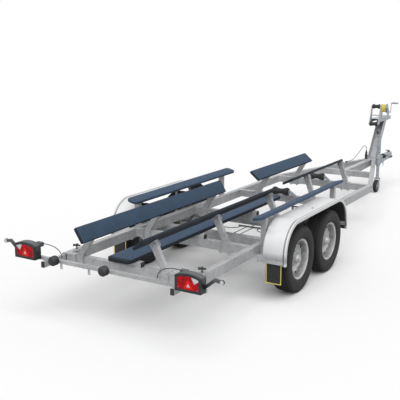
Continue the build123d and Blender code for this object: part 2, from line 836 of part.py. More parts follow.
# Crank: pinion, shaft, arm and grip
crank_arm_x = winch_plate_half + 4 * running_clearance
crank_end_x = crank_arm_x + bracket_sheet
with BuildPart() as winch_crank:
    with BuildSketch(Plane((drum_half - gear_face, crank_y, crank_z), x_dir=(0, 1, 0), z_dir=(1, 0, 0))):
        with BuildLine():
            half_tooth = 180 / pinion_teeth
            Polyline(*gear_outline(pinion_teeth, mesh_angle + 180 + half_tooth), close=True)
        make_face()
    extrude(amount=gear_face)
    rod_x((drum_half, crank_end_x), crank_y, crank_z, roller_pin_radius)
    grip_y = crank_y + crank_length * cos(radians(crank_angle))
    grip_z = crank_z + crank_length * sin(radians(crank_angle))
    with BuildSketch(across(crank_arm_x)):
        with Locations((crank_y, crank_z), (grip_y, grip_z)):
            Circle(1.6 * roller_pin_radius)
        make_hull()
    extrude(amount=bracket_sheet)
    rod_x((crank_end_x, crank_end_x + grip_length), grip_y, grip_z, grip_radius)
keep(winch_crank, "winch_crank")

# Overrun housing: a block on the spine's front end that tapers to the shaft's collar
with BuildPart() as coupling_housing:
    block((-housing_half_width, housing_half_width), (spine_front_y, housing_front_y),
          (rail_bottom, rail_top))
    with BuildSketch(facing_back(housing_front_y)):
        with Locations((0, (rail_bottom + rail_top) / 2)):
            Rectangle(2 * housing_half_width, rail_height)
    with BuildSketch(facing_back(collar_y)):
        with Locations((0, coupling_z)):
            Rectangle(2 * collar_radius, 2 * collar_radius)
    loft()
    rod_y(0, (collar_y, ball_y - 2 * head_radius), coupling_z, shaft_radius)
    block((-2 * brake_rod_radius, 2 * brake_rod_radius),
          (brake_rod_front[0], brake_rod_front[0] + 2 * hanger_sheet),
          (brake_rod_front[1] - 3 * brake_rod_radius, rail_bottom))
    rod_x((housing_half_width, lever_x), *lever_pivot, lever_pin_radius)
keep(coupling_housing, "coupling_housing")

# Pleated rubber bellows round the shaft
with BuildPart() as coupling_bellows:
    with BuildSketch(Plane((0, collar_y, coupling_z), x_dir=(0, 1, 0), z_dir=(-1, 0, 0))):
        with BuildLine():
            pleat = (bellows_front_y - collar_y) / bellows_pleats
            inner = shaft_radius + bearing_clearance
            valley = (bellows_radius + shaft_radius) / 2
            ridge_points = [(0, inner), (0, valley)]
            for count in range(bellows_pleats):
                ridge_points += [((count + 0.5) * pleat, bellows_radius), ((count + 1) * pleat, valley)]
            Polyline(*ridge_points, (bellows_front_y - collar_y, inner), close=True)
        make_face()
    revolve(axis=Axis((0, collar_y, coupling_z), (0, 1, 0)))
keep(coupling_bellows, "coupling_bellows")

# Coupling head with the socket for the ball
with BuildPart() as coupling_head:
    with BuildSketch(Plane.XY.offset(head_bottom)):
        with Locations((0, ball_y)):
            Circle(head_radius)
        with Locations((0, (bellows_front_y + ball_y) / 2)):
            Rectangle(2 * head_radius - 8, ball_y - bellows_front_y)
    extrude(amount=head_top - head_bottom)
    rod_z(0, ball_y, (head_bottom, head_bottom + socket_depth), socket_radius, mode=Mode.SUBTRACT)
    with Locations((0, ball_y, head_bottom + socket_depth)):
        Sphere(socket_radius, mode=Mode.SUBTRACT)
    rod_y(0, (bellows_front_y, ball_y - 2 * head_radius), coupling_z, shaft_radius, mode=Mode.SUBTRACT)
    fillet(coupling_head.faces().sort_by(Axis.Z)[-1].edges(), head_fillet)
keep(coupling_head, "coupling_head")

# Release handle on the head
handle_y = ball_y - head_radius
handle_points = [
    # along the head from its ball, above its top
    (0, 0), (40, 0), (30, 22), (-120, 46), (-126, 32), (-10, 12),
]
with BuildPart() as coupling_handle:
    with BuildSketch(across(-handle_width / 2)):
        with BuildLine():
            Polyline(*[(handle_y + along, head_top + up) for along, up in handle_points], close=True)
        make_face()
    extrude(amount=handle_width)
keep(coupling_handle, "coupling_handle")

# Handbrake lever lying forward beside the coupling
with BuildPart() as handbrake_lever:
    with BuildSketch(across(lever_x)):
        with Locations(lever_pivot):
            Circle(lever_boss_radius)
        with Locations(lever_tip):
            Circle(lever_end_radius)
        make_hull()
    extrude(amount=lever_thickness)
    rod_y(lever_x + lever_thickness / 2, (lever_tip[0], lever_tip[0] + lever_grip_length), lever_tip[1],
          lever_pin_radius)
keep(handbrake_lever, "handbrake_lever")

# Jockey wheel clamp on the right drawbar beam
clamp_radius = jockey_tube_radius + jockey_clamp_wall
jockey_x = beam_face_x(jockey_y) + clamp_radius + jockey_clamp_gap
with BuildPart() as jockey_clamp:
    with BuildSketch(Plane.XY.offset(rail_bottom + jockey_clamp_inset)):
        with BuildLine():
            clamp_rear, clamp_front = jockey_y - clamp_radius, jockey_y + clamp_radius
            Polyline((beam_face_x(clamp_rear), clamp_rear), (jockey_x, clamp_rear), (jockey_x, clamp_front),
                     (beam_face_x(clamp_front), clamp_front), close=True)
        make_face()
        with Locations((jockey_x, jockey_y)):
            Circle(clamp_radius)
            Circle(jockey_tube_radius + bearing_clearance, mode=Mode.SUBTRACT)
    extrude(amount=rail_height - 2 * jockey_clamp_inset)
    screw_end_x = jockey_x + 2 * clamp_radius
    rod_x((jockey_x + clamp_radius - 2, screw_end_x), jockey_y, rail_top - rail_height / 2, roller_pin_radius)
    rod_z(screw_end_x, jockey_y, (rail_bottom, rail_top), clamp_screw_radius)
keep(jockey_clamp, "jockey_clamp")

# Jockey wheel's outer tube with its crank on top
jockey_top = jockey_tube_span[1]
jockey_arm_z = jockey_top + jockey_clamp_wall * 4
with BuildPart() as jockey_tube:
    rod_z(jockey_x, jockey_y, jockey_tube_span, jockey_tube_radius)
    rod_z(jockey_x, jockey_y, (jockey_tube_span[0], jockey_top - 2 * jockey_clamp_wall),
          jockey_inner_radius + bearing_clearance, mode=Mode.SUBTRACT)
    rod_z(jockey_x, jockey_y, (jockey_top, jockey_arm_z), roller_pin_radius)
    block((jockey_x - roller_pin_radius, jockey_x + roller_pin_radius),
          (jockey_y - jockey_crank_length - jockey_clamp_wall, jockey_y + jockey_clamp_wall),
          (jockey_arm_z, jockey_arm_z + lamp_plate * 2))
    rod_z(jockey_x, jockey_y - jockey_crank_length, (jockey_arm_z, jockey_arm_z + 2 * clamp_radius),
          lever_end_radius)
keep(jockey_tube, "jockey_tube")

with BuildPart() as jockey_inner_tube:
    rod_z(jockey_x, jockey_y, (fork_crown_z[1], jockey_inner_top), jockey_inner_radius)
keep(jockey_inner_tube, "jockey_inner_tube")

# Fork that swivels under the inner tube
wheel_y = jockey_y - jockey_trail
fork_inner = jockey_wheel_half + running_clearance
crown_top = fork_crown_z[1] - bearing_clearance
with BuildPart() as jockey_fork:
    rod_z(jockey_x, jockey_y, (fork_crown_z[0], crown_top), fork_inner + fork_plate)
    for x in (jockey_x - fork_inner - fork_plate, jockey_x + fork_inner):
        with BuildSketch(across(x)):
            with Locations((wheel_y, jockey_wheel_radius)):
                Circle(2 * roller_pin_radius)
            with Locations((jockey_y, (fork_crown_z[0] + crown_top) / 2)):
                Rectangle(fork_inner, crown_top - fork_crown_z[0])
            make_hull()
        extrude(amount=fork_plate)
    rod_x((jockey_x - fork_inner, jockey_x + fork_inner), wheel_y, jockey_wheel_radius, roller_pin_radius)
keep(jockey_fork, "jockey_fork")

with BuildPart() as jockey_wheel:
    with BuildSketch(Plane((jockey_x, wheel_y, jockey_wheel_radius), x_dir=(1, 0, 0), z_dir=(0, -1, 0))):
        with BuildLine():
            shoulder = jockey_wheel_radius - jockey_wheel_half / 2
            crown_half = jockey_wheel_half / 2
            bore = roller_pin_radius + bearing_clearance
            Polyline((-jockey_wheel_half, bore), (jockey_wheel_half, bore), (jockey_wheel_half, shoulder),
                     (crown_half, jockey_wheel_radius), (-crown_half, jockey_wheel_radius),
                     (-jockey_wheel_half, shoulder), close=True)
        make_face()
    revolve(axis=Axis((jockey_x, wheel_y, jockey_wheel_radius), (1, 0, 0)))
keep(jockey_wheel, "jockey_wheel")

# Light board: two tubes in the rails, a cross bar on them, lamp plates, glands and number-plate tabs
slide_z = (slide_top - slide_height, slide_top)
with BuildPart() as slide_tubes:
    for x in (-slide_x, slide_x):
        block((x - slide_width / 2, x + slide_width / 2), slide_span, slide_z)
keep(slide_tubes, "slide_tubes")

with BuildPart() as light_bar:
    block((-bar_half_length, bar_half_length), (bar_rear_y, bar_y + bar_size / 2), (bar_bottom, bar_top))
    for side in (-1, 1):
        x = side * lamp_x
        block((x - lamp_width / 3, x + lamp_width / 3), (lamp_rear_y, bar_rear_y),
              (bar_bottom, lamp_bottom + lamp_height / 2))
        rod_z(side * lead_points[-1][0], bar_y, (bar_top, lead_points[-1][1]), lead_gland_radius)
    for x in plate_tab_x:
        tab_bottom = bar_top - plate_tab[1]
        block((x - plate_tab[0] / 2, x + plate_tab[0] / 2), (lamp_rear_y, bar_rear_y), (tab_bottom, bar_top))
        rod_y(x, (lamp_rear_y, bar_rear_y), tab_bottom + plate_tab[0] / 2, plate_hole_radius,
              mode=Mode.SUBTRACT)
keep(light_bar, "light_bar")

with BuildPart() as slide_caps:
    for x in (-slide_x, slide_x):
        block((x - slide_width / 2, x + slide_width / 2),
              (slide_span[0] - cap_thickness, slide_span[0]), slide_z)
keep(slide_caps, "slide_caps")


def lamp_outline(x, inset):
    """The lamp's face seen from behind: straight sides under an arched top."""
    half = lamp_width / 2 - inset
    base = lamp_bottom + inset
    shoulder = lamp_bottom + lamp_shoulder - inset
    with BuildSketch(mode=Mode.PRIVATE) as face:
        with BuildLine():
            Polyline((x - half, shoulder), (x - half, base), (x + half, base), (x + half, shoulder))
            ThreePointArc((x + half, shoulder), (x, lamp_bottom + lamp_height - inset), (x - half, shoulder))
        make_face()
    return face.sketch


def clear_outline(side):
    """The clear corner of a lamp's face, in its upper outer part."""
    with BuildSketch(mode=Mode.PRIVATE) as corner:
        with BuildLine():
            Polyline(*[(side * (lamp_x + (out - 0.5) * lamp_width), lamp_bottom + (1 - down) * lamp_height)
                       for out, down in clear_corner], close=True)
        make_face()
    return corner.sketch


# Lamp bodies, side-marker arms, lead boots and number-plate lamps, all black
marker_front_y = lamp_rear_y - lamp_depth / 4
marker_rear_y = marker_front_y - marker_radius
with BuildPart() as lamp_bodies:
    for side in (-1, 1):
        with BuildSketch(facing_back(lamp_rear_y)):
            add(lamp_outline(side * lamp_x, 0))
        extrude(amount=lamp_depth)
        arm_root = (lamp_x + lamp_width / 2, marker_root_z)
        for start, end in ((arm_root, marker_bend), (marker_bend, marker_end)):
            with BuildSketch(facing_back(marker_front_y)):
                with Locations((side * start[0], start[1]), (side * end[0], end[1])):
                    Circle(marker_arm_radius)
                make_hull()
            extrude(amount=marker_radius)
        rod_y(side * marker_end[0], (marker_rear_y, marker_front_y), marker_end[1], marker_radius)
        block((side * boot_x[0], side * boot_x[1]), (lamp_rear_y, 2 * bar_y - lamp_rear_y), boot_z)
    for x in plate_lamp_x:
        with BuildSketch(Plane((x, bar_rear_y, plate_lamp_z), x_dir=(0, -1, 0), z_dir=(1, 0, 0))):
            with BuildLine():
                Polyline((0, 0), (0, plate_lamp_radius), (plate_lamp_depth / 2, plate_lamp_radius),
                         (plate_lamp_depth, plate_lamp_radius / 2), (plate_lamp_depth, 0), close=True)
            make_face()
        revolve(axis=Axis((x, bar_rear_y, plate_lamp_z), (0, -1, 0)))
keep(lamp_bodies, "lamp_bodies")

# Lenses: red faces with a clear corner, and the clear markers
with BuildPart() as red_lenses:
    for side in (-1, 1):
        with BuildSketch(facing_back(lamp_face_y)):
            add(lamp_outline(side * lamp_x, lens_inset))
            add(clear_outline(side), mode=Mode.SUBTRACT)
        extrude(amount=lens_depth)
keep(red_lenses, "red_lenses")

with BuildPart() as clear_lenses:
    for side in (-1, 1):
        with BuildSketch(facing_back(lamp_face_y)):
            add(lamp_outline(side * lamp_x, lens_inset))
            add(clear_outline(side), mode=Mode.INTERSECT)
        extrude(amount=lens_depth)
        rod_y(side * marker_end[0], (marker_rear_y - marker_radius / 2, marker_rear_y), marker_end[1],
              marker_radius - 2)
keep(clear_lenses, "clear_lenses")

# Leads from the lamps' boots to the glands on the bar
with BuildPart() as lamp_leads:
    for side in (-1, 1):
        route_points = [(side * x, bar_y, z) for x, z in lead_points]
        with BuildLine() as route:
            FilletPolyline(*route_points, radius=largest_bends(route_points))
        sweep(cord_section(route_points, lead_radius), path=route.wire())
keep(lamp_leads, "lamp_leads")
print("lamp lead", round(route.wire().length), [round(bend) for bend in largest_bends(route_points)])

# T-handled screws that clamp the light board's tubes in the rails
with BuildPart() as clamp_screws:
    for x in (-slide_x, slide_x):
        rod_z(x, clamp_screw_y, (slide_top + bearing_clearance, rail_top + screw_height), clamp_screw_radius)
        rod_x((x - screw_handle / 2, x + screw_handle / 2), clamp_screw_y, rail_top + screw_height,
              clamp_screw_radius)
keep(clamp_screws, "clamp_screws")

# Brake rod from the overrun lever down through its hangers to the equaliser behind the front axle
equaliser_y = axle_places[1] + axle_lead - axle_tube / 2 - equaliser_gap
rod_rear = (equaliser_y - rod_end, axle_bottom - brake_rod_drop)
rod_start = (0, *rod_rear)
rod_stop = (0, brake_rod_front[0] - bearing_clearance, brake_rod_front[1])
rod_rise = (brake_rod_front[1] - rod_rear[1]) / (brake_rod_front[0] - rod_rear[0])
with BuildPart() as brake_rod:
    block((-equaliser_half, equaliser_half), (equaliser_y, equaliser_y + hanger_sheet),
          (rod_rear[1] - 2 * brake_rod_radius, rod_rear[1] + 2 * brake_rod_radius))
    for y in front_cross_y + [drawbar_cross_y]:
        rod_z_here = rod_rear[1] + rod_rise * (y - rod_rear[0])
        block((-2 * brake_rod_radius, 2 * brake_rod_radius), (y - hanger_sheet / 2, y + hanger_sheet / 2),
              (rod_z_here - 2 * brake_rod_radius, cross_bottom))
    rod_between(rod_start, rod_stop, brake_rod_radius + bearing_clearance, mode=Mode.SUBTRACT)
    rod_between(rod_start, rod_stop, brake_rod_radius)
keep(brake_rod, "brake_rod")

# Brake cables from the equaliser to the four backplates
with BuildPart() as brake_cables:
    for side in (-1, 1):
        for start_x, axle, bend in cable_table:
            entry_y = axle_places[axle] - cable_entry
            cable_z = rod_rear[1]
            route_points = [(side * start_x, equaliser_y, cable_z), (side * start_x, entry_y, cable_z),
                            (side * backplate_inner_x, entry_y, cable_z)]
            with BuildLine() as route:
                FilletPolyline(*route_points, radius=bend)
            sweep(cord_section(route_points, brake_cable_radius), path=route.wire())
            print("brake cable", round(route.wire().length))
keep(brake_cables, "brake_cables")

# Front cable: out of its gland, along the beam and up in a loop to its parked plug
cable_route = [(x, behind_nose(distance), z) for x, distance, z in front_cable_points]
with BuildPart() as front_cable:
    with BuildLine() as route:
        FilletPolyline(*cable_route, radius=largest_bends(cable_route))
    sweep(cord_section(cable_route, front_cable_radius), path=route.wire())
keep(front_cable, "front_cable")
print("front cable", round(route.wire().length), [round(bend) for bend in largest_bends(cable_route)])

# Plug in its parking socket on the left beam, and the cable's gland
plug_x, plug_y = cable_route[-1][:2]
gland_x, gland_y = cable_route[0][:2]
with BuildPart() as cable_plug:
    with BuildSketch(Plane((plug_x, plug_y, rail_top), x_dir=(1, 0, 0), z_dir=(0, -1, 0))):
        with BuildLine():
            Polyline((0, 0), *plug_profile, (0, plug_profile[-1][1]), close=True)
        make_face()
    revolve(axis=Axis((plug_x, plug_y, rail_top), (0, 0, 1)))
    block((gland_x - cable_gland[0] / 2, gland_x + cable_gland[0] / 2), (gland_y - cable_gland[1], gland_y),
          (rail_top, rail_top + cable_gland[2]))
keep(cable_plug, "cable_plug")
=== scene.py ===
import bpy
import json
from math import atan2, cos, floor, hypot, pi, radians, sin
from mathutils import Matrix, Vector

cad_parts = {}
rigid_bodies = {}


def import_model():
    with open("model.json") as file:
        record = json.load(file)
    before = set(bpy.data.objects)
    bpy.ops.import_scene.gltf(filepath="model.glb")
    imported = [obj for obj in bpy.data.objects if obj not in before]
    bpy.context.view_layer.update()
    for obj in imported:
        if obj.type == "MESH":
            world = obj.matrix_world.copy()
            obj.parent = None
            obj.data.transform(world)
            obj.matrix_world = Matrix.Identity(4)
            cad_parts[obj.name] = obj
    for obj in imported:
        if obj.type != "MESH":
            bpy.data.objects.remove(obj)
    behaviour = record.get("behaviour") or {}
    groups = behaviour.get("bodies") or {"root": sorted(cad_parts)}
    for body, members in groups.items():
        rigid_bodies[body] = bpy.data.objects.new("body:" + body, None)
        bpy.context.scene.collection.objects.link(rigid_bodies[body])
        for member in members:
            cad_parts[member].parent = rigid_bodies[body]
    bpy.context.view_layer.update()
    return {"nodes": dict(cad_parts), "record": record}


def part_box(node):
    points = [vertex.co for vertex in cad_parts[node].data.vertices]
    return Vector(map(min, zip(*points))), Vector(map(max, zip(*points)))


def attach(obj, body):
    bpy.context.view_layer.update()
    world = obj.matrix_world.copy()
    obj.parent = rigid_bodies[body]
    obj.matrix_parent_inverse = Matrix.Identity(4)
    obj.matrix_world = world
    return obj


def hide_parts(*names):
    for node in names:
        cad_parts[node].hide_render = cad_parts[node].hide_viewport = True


# Boat trailer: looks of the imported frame, in metres, +Y forward to the coupling
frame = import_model()
joint_places = {}
for joint in frame["record"]["behaviour"]["joints"]:
    if "pos_m" in joint:
        joint_places[joint["name"]] = Vector(joint["pos_m"])
rear_axle_y = joint_places["wheel_rear_left_spin"].y
wheel_corners = ("rear_left", "rear_right", "front_left", "front_right")


def ahead(distance):
    """Y of a place measured forward from the rear axle."""
    return rear_axle_y + distance


# Tyre: half of its section, from the bead round the sidewall to the middle of the tread
tyre_half_section = [
    # out from the tyre's middle, radius
    (0.0660, 0.1790), (0.0688, 0.1840), (0.0690, 0.1945), (0.0730, 0.1985), (0.0810, 0.2035),
    (0.0880, 0.2140), (0.0912, 0.2220), (0.0932, 0.2235), (0.0934, 0.2265), (0.0924, 0.2285),
    (0.0942, 0.2400), (0.0956, 0.2550), (0.0957, 0.2660), (0.0944, 0.2800), (0.0922, 0.2920),
    (0.0912, 0.2990), (0.0880, 0.3085), (0.0825, 0.3165), (0.0745, 0.3202), (0.0585, 0.3228),
    (0.0570, 0.3160), (0.0495, 0.3164), (0.0480, 0.3236), (0.0285, 0.3246), (0.0270, 0.3172),
    (0.0190, 0.3174), (0.0175, 0.3249), (0.0, 0.3250),
]
tread_steps = 216
tread_inside = 0.298
tread_slot_every = 3
tread_slot_rows = [
    # nearest and furthest from the middle, turn in steps, depth
    (0.0590, 0.0925, 0, 0.0045),
    (0.0290, 0.0475, 1, 0.0030),
    (0.0, 0.0170, 2, 0.0030),
]

# Steel wheel with its hub and drum: the section from the cap's tip round to the bore
wheel_section = [
    # out from the wheel's middle, radius
    (0.0785, 0.0), (0.0780, 0.0220), (0.0740, 0.0300), (0.0640, 0.0330), (0.0620, 0.0370),
    (0.0560, 0.0400), (0.0520, 0.0440), (0.0140, 0.0460), (0.0095, 0.0520), (0.0085, 0.0930),
    (0.0130, 0.1020), (0.0230, 0.1120), (0.0285, 0.1200), (0.0280, 0.1290), (0.0200, 0.1570),
    (0.0140, 0.1650), (0.0160, 0.1690), (0.0400, 0.1700), (0.0600, 0.1720), (0.0700, 0.1775),
    (0.0748, 0.1860), (0.0768, 0.1920), (0.0778, 0.1950), (0.0725, 0.1945), (0.0700, 0.1860),
    (0.0695, 0.1785), (0.0620, 0.1780), (-0.0620, 0.1780), (-0.0695, 0.1785), (-0.0700, 0.1860),
    (-0.0725, 0.1945), (-0.0778, 0.1950), (-0.0748, 0.1860), (-0.0700, 0.1775), (-0.0600, 0.1720),
    (-0.0400, 0.1700), (0.0060, 0.1690), (0.0095, 0.1600), (0.0185, 0.1290), (0.0120, 0.1140),
    (0.0, 0.1120), (-0.0480, 0.1120), (-0.0480, 0.1040), (-0.0080, 0.1040), (-0.0080, 0.0223),
    (0.0610, 0.0223), (0.0610, 0.0),
]
wheel_steps = 84
wheel_slot_count = 12
wheel_slot_band = (0.132, 0.154)
wheel_slot_depth = 0.0075
barrel_radius = 0.158
barrel_out = 0.066

# Wheel nuts and valve
nut_circle = 0.072
nut_count = 5
wheel_face_out = 0.0088
nut_size = (0.019, 0.019)
nut_turn = 0.25
valve_radius_out = 0.1640
valve_section = [
    # radius, height
    (0, 0), (0.0050, 0), (0.0050, 0.012), (0.0036, 0.015), (0.0036, 0.022), (0.0044, 0.023),
    (0.0044, 0.034), (0.0030, 0.036), (0, 0.036),
]

# Ribbed boards: thickness, ribs, soft edges and places
board_thickness = 0.028
rib_pitch = 0.030
rib_width = 0.0255
rib_height = 0.0026
soft_edge = 0.005
plank_corner = 0.040
rear_bunk_span = (ahead(-1.700), ahead(0.730))
front_bunk_span = (ahead(1.300), ahead(2.900))
side_bunk_span = (ahead(-0.450), ahead(1.640))
board_rows = [
    # node, side, outer edge's x and z, tilt, width, corner, span
    ("rear_bunks", -1, 0.345, 0.840, 57, 0.146, 0.012, rear_bunk_span),
    ("rear_bunks", 1, 0.345, 0.840, 37, 0.146, 0.012, rear_bunk_span),
    ("front_bunks", -1, 0.260, 0.860, 40, 0.146, 0.012, front_bunk_span),
    ("front_bunks", 1, 0.270, 0.825, 27, 0.146, 0.012, front_bunk_span),
    ("side_bunks", -1, 0.75791, 0.80606, 15, 0.120, 0.050, side_bunk_span),
    ("side_bunks", 1, 0.75791, 0.80606, 15, 0.120, 0.050, side_bunk_span),
]

# Mudguards: the pressed groove inside the outer edge, darkened with painted shadow and some dirt, and the
# heights where a grey band of painted shade and reflection starts and fades out
groove_shadow_band = (0.953, 0.967)
low_shade_start = (0.385, 0.405)
low_shade_fade = (0.425, 0.480)

# Flaps: middle, lower end, round corners and yellow edge
flap_x = 0.87
flap_bottom = 0.185
flap_corner = 0.018
edge_margin = 0.003
edge_width = 0.008

# Mudguards' inside, lined with a black sheet of painted shade, and the strip over each flap
guard_bead = 0.005
guard_corner = 0.290
guard_bend_steps = 14
shade_sheet_inset = 0.0045
shade_sheet_width = 0.200
shade_sheet_thickness = 0.0015
shade_sheet_from_edge = 0.004
carrier_x = (0.700, 0.957)
carrier_depth = 0.026
carrier_rise = 0.020
carrier_sheet = 0.003
carrier_edge = 0.0012
carrier_overlap = 0.0005

# Lamps: outline, bezel, lenses and number-plate lamps
lamp_x = 0.823
lamp_width = 0.230
lamp_shoulder = 0.648
lamp_inset = 0.009
bezel_lip = 0.012
lamp_greying_heights = (0.585, 0.665)
arch_steps = 16
bezel_depth = 0.0175
bezel_edge = 0.002
bezel_set_back = 0.0006
lens_set_back = 0.004
lens_border = 0.004
plate_lamp_x = (-0.548, -0.014)
plate_lamp_y = ahead(-1.769)
plate_lamp_z = 0.535
plate_lamp_section = [
    # radius, height
    (0.0425, 0), (0.0425, 0.004), (0.0405, 0.006), (0.0395, 0.011), (0.0385, 0.012),
    (0.0345, 0.018), (0.0335, 0.0185), (0.0250, 0.0225), (0.0150, 0.0245), (0, 0.0250),
]

# Lamps: reflector triangle and screws, from the lens's middle
reflector_shift = 0.004
reflector_drop = 0.022
reflector_radius = 0.050
# Size of the small pale triangle on each reflector, a painted highlight
reflector_highlight_radius = 0.018
reflector_thickness = 0.0022
lens_screw_in = 0.085
lens_screw_down = 0.042
lens_screw_section = [
    # radius, height
    (0, 0.0006), (0.0016, 0.0006), (0.0018, 0.0020), (0.0032, 0.0014), (0.0038, 0),
]

# Knobs of the clamp screws
screw_handle = 0.076
knob_drop = 0.016
knob_section = [
    # radius, height
    (0, 0), (0.013, 0), (0.014, 0.004), (0.012, 0.016), (0.009, 0.020), (0, 0.021),
]
knob_arm_low, knob_arm_high = (0.004, -0.0085, 0.003), (0.036, 0.0085, 0.017)
knob_arm_edge = 0.005
knob_arm_count = 3

# Crossmembers, the struts' feet and head plates, and the keel tubes' end caps
keel_cross_y = [ahead(-1.465), ahead(-0.450), ahead(0.650)]
front_cross_y = [ahead(1.750), ahead(2.865)]
strut_feet = [
    # x, the crossmembers' places
    (-0.490, keel_cross_y), (0.395, keel_cross_y), (-0.380, front_cross_y), (0.345, front_cross_y),
]
clamp_nut_x, clamp_nut_y, clamp_nut_z = 0.042, 0.036, 0.431
strut_reaches = (0.073, 0.040, 0.073, 0.110)  # of the rear and front boards, as in board_rows
strut_depth = 0.040
cheek_width = 0.072
cheek_drop = 0.060
cheek_sheet = 0.004
cheek_cut = 0.020
cheek_bolt = 0.020
keel_tube_width = 0.050
cap_rim = 0.004
cap_border = 0.007
cap_rise = 0.003

# Bolts: width and height of their heads, and their places
frame_bolt_size = (0.016, 0.007)
flap_bolt_size = (0.009, 0.004)
board_bolt_size = (0.013, 0.006)
side_bolt_rows = [
    # distance from the middle, place ahead of the rear axle, height
    (0.739, -0.310, 0.445), (0.739, -0.310, 0.490), (0.739, 1.410, 0.445), (0.739, 1.410, 0.490),
    (0.689, 2.850, 0.447), (0.689, 2.850, 0.495), (0.112, 1.585, 0.596), (0.112, 2.700, 0.596),
    (0.060, 5.020, 0.560), (0.060, 5.085, 0.650), (0.074, 4.990, 1.060), (0.074, 5.085, 1.325),
    (0.074, 5.060, 1.095), (0.066, 5.380, 1.108), (0.066, 5.450, 1.108), (0.058, 5.500, 1.263),
    (0.055, 5.190, 0.490), (0.055, 5.290, 0.490), (0.042, 5.640, 0.468), (0.042, 5.700, 0.468),
]
guard_bolt_x = (0.805, 0.905)
guard_top_bolt_y = ahead(0.368)
guard_end_bolt_z = 0.423
flap_bolt_x = (0.815, 0.870, 0.925)
flap_bolt_drop = 0.010
bar_bolt_x = (-0.420, -0.350, -0.250, 0.270, 0.410)
bar_bolt_drop = 0.087
tab_bolt_x = (-0.485, -0.185)
tab_bolt_drop = 0.072

# Winch post's web: its foot and how far it runs, forward and up, and the bolts' shares of that run
post_foot_ahead, post_foot_z = 5.044, 0.519
post_run, post_rise = 0.436, 0.611
web_bolt_shares = (0.30, 0.62)
web_set_back = 0.0065
web_facing = (0, -0.81, 0.58)

# Winch strap
strap_core = 0.030
strap_turns = 12
strap_ply = 0.0026
strap_edge = 0.0006
strap_crown = 0.0004
strap_steps = 64

# Hand grips: radius, length, number of ridges and the flange's radius
crank_grip_size = (0.0166, 0.1050, 7, 0.0169)
jockey_grip_size = (0.0135, 0.063, 5, 0.0159)
lever_grip_size = (0.0150, 0.139, 9, 0.0177)
grip_flange = 0.004
grip_neck = 0.008
grip_dome = 0.004
grip_ends = 0.018
crank_throw = 0.150
crank_lean = radians(75)
crank_grip_back = 0.1055
jockey_grip_in = 0.012
jockey_grip_drop = 0.062
lever_grip_back = 0.138
lever_z = 0.452

# Jockey wheel's hub
jockey_wheel_half = 0.027
jockey_hub_proud = 0.0015
jockey_hub_section = [
    # out from the hub's side, radius
    (0, 0.012), (0.0015, 0.016), (0.0015, 0.026), (-0.002, 0.032), (-0.002, 0.054), (0, 0.058),
    (0, 0.063), (-0.004, 0.065),
]

# Steps round the turned pieces, what counts as one point and the angle up to which edges are smooth
small_steps = 12
knob_steps = 24
grip_steps = 28
dome_steps = 32
hub_steps = 40
merge_distance = 0.00002
smooth_angle = radians(32)

# Camera, from the fit to the photo's wheels, lamps and rails
photo_lens = 65.12
photo_sensor = 36
camera_place = (3.5397, -8.1908, 2.3695)
camera_tilt = radians(90 - 12.5947)
camera_turn = radians(31.1824)

# Floor and light
floor_size = 80
floor_lit = (0.55, 0.55, 0.55)
floor_white = (0.97, 0.97, 0.97)
sky_light = 0.43
sky_white = 0.57
key_strength = 2.25
key_softness = radians(70)
key_place = Vector((3.5, -5, 9))


class Socket:
    """A shader socket whose arithmetic adds Math nodes."""

    def __init__(self, tree, link):
        self.tree = tree
        self.link = link

    def make(self, kind, inputs, output=0, **settings):
        """Add any node: its settings first, then the values or links of its sockets."""
        node = self.tree.nodes.new("ShaderNode" + kind)
        for name, value in settings.items():
            setattr(node, name, value)
        for key, value in inputs.items():
            if isinstance(value, Socket):
                self.tree.links.new(value.link, node.inputs[key])
            else:
                node.inputs[key].default_value = value
        return Socket(self.tree, node.outputs[output])

    def math(self, operation, first, second):
        return self.make("Math", {0: first, 1: second}, operation=operation)

    def __add__(self, other):
        return self.math("ADD", self, other)

    def __radd__(self, other):
        return self.math("ADD", other, self)

    def __sub__(self, other):
        return self.math("SUBTRACT", self, other)

    def __rsub__(self, other):
        return self.math("SUBTRACT", other, self)

    def __mul__(self, other):
        return self.math("MULTIPLY", self, other)

    def __rmul__(self, other):
        return self.math("MULTIPLY", other, self)

    def spread(self, low, high):
        """This value stretched so that low becomes 0 and high becomes 1."""
        return self.make("MapRange", {"Value": self, "From Min": low, "From Max": high})

    def __lt__(self, other):
        return self.math("LESS_THAN", self, other)

    def __gt__(self, other):
        return self.math("GREATER_THAN", self, other)

    def size(self):
        """This value without its sign."""
        return self.make("Math", {0: self}, operation="ABSOLUTE")

    def axes(self):
        """The three values of these coordinates."""
        parts = self.make("SeparateXYZ", {"Vector": self})
        return [Socket(self.tree, output) for output in parts.link.node.outputs]

    def stretched(self, x, y, z):
        """These coordinates scaled along each axis."""
        return self.make("Mapping", {"Vector": self, "Scale": (x, y, z)})

    def noise(self, scale, detail=3.0):
        """Soft grey noise over these coordinates, from 0 to 1."""
        cloud = self.make("TexNoise", {"Vector": self, "Scale": scale, "Detail": detail})
        return cloud.spread(0.3, 0.7)

    def bands(self, scale, direction):
        """Even ridges across one axis of these coordinates, from 0 to 1."""
        return self.make("TexWave", {"Vector": self, "Scale": scale}, output="Fac", wave_type="BANDS",
                         bands_direction=direction)

    def mix(self, first, second):
        """The first colour where this mask is 0 and the second where it is 1."""
        return self.make("Mix", {"Factor": self, "A": rgba(first), "B": rgba(second)}, output="Result",
                         data_type="RGBA")

    def bump(self, strength, distance):
        """A normal from this height."""
        return self.make("Bump", {"Height": self, "Strength": strength, "Distance": distance},
                         output="Normal")


def rgba(colour):
    """A colour with its alpha, or a link as it is."""
    return colour if isinstance(colour, Socket) else (*colour, 1)


def finish(name, **constants):
    """A new material, its shader and its object coordinates."""
    material = bpy.data.materials.new(name)
    material.use_nodes = True
    tree = material.node_tree
    shader = tree.nodes["Principled BSDF"]
    for socket, value in constants.items():
        shader.inputs[socket.replace("_", " ")].default_value = value
    place = Socket(tree, tree.nodes.new("ShaderNodeTexCoord").outputs["Object"])
    return material, shader, place


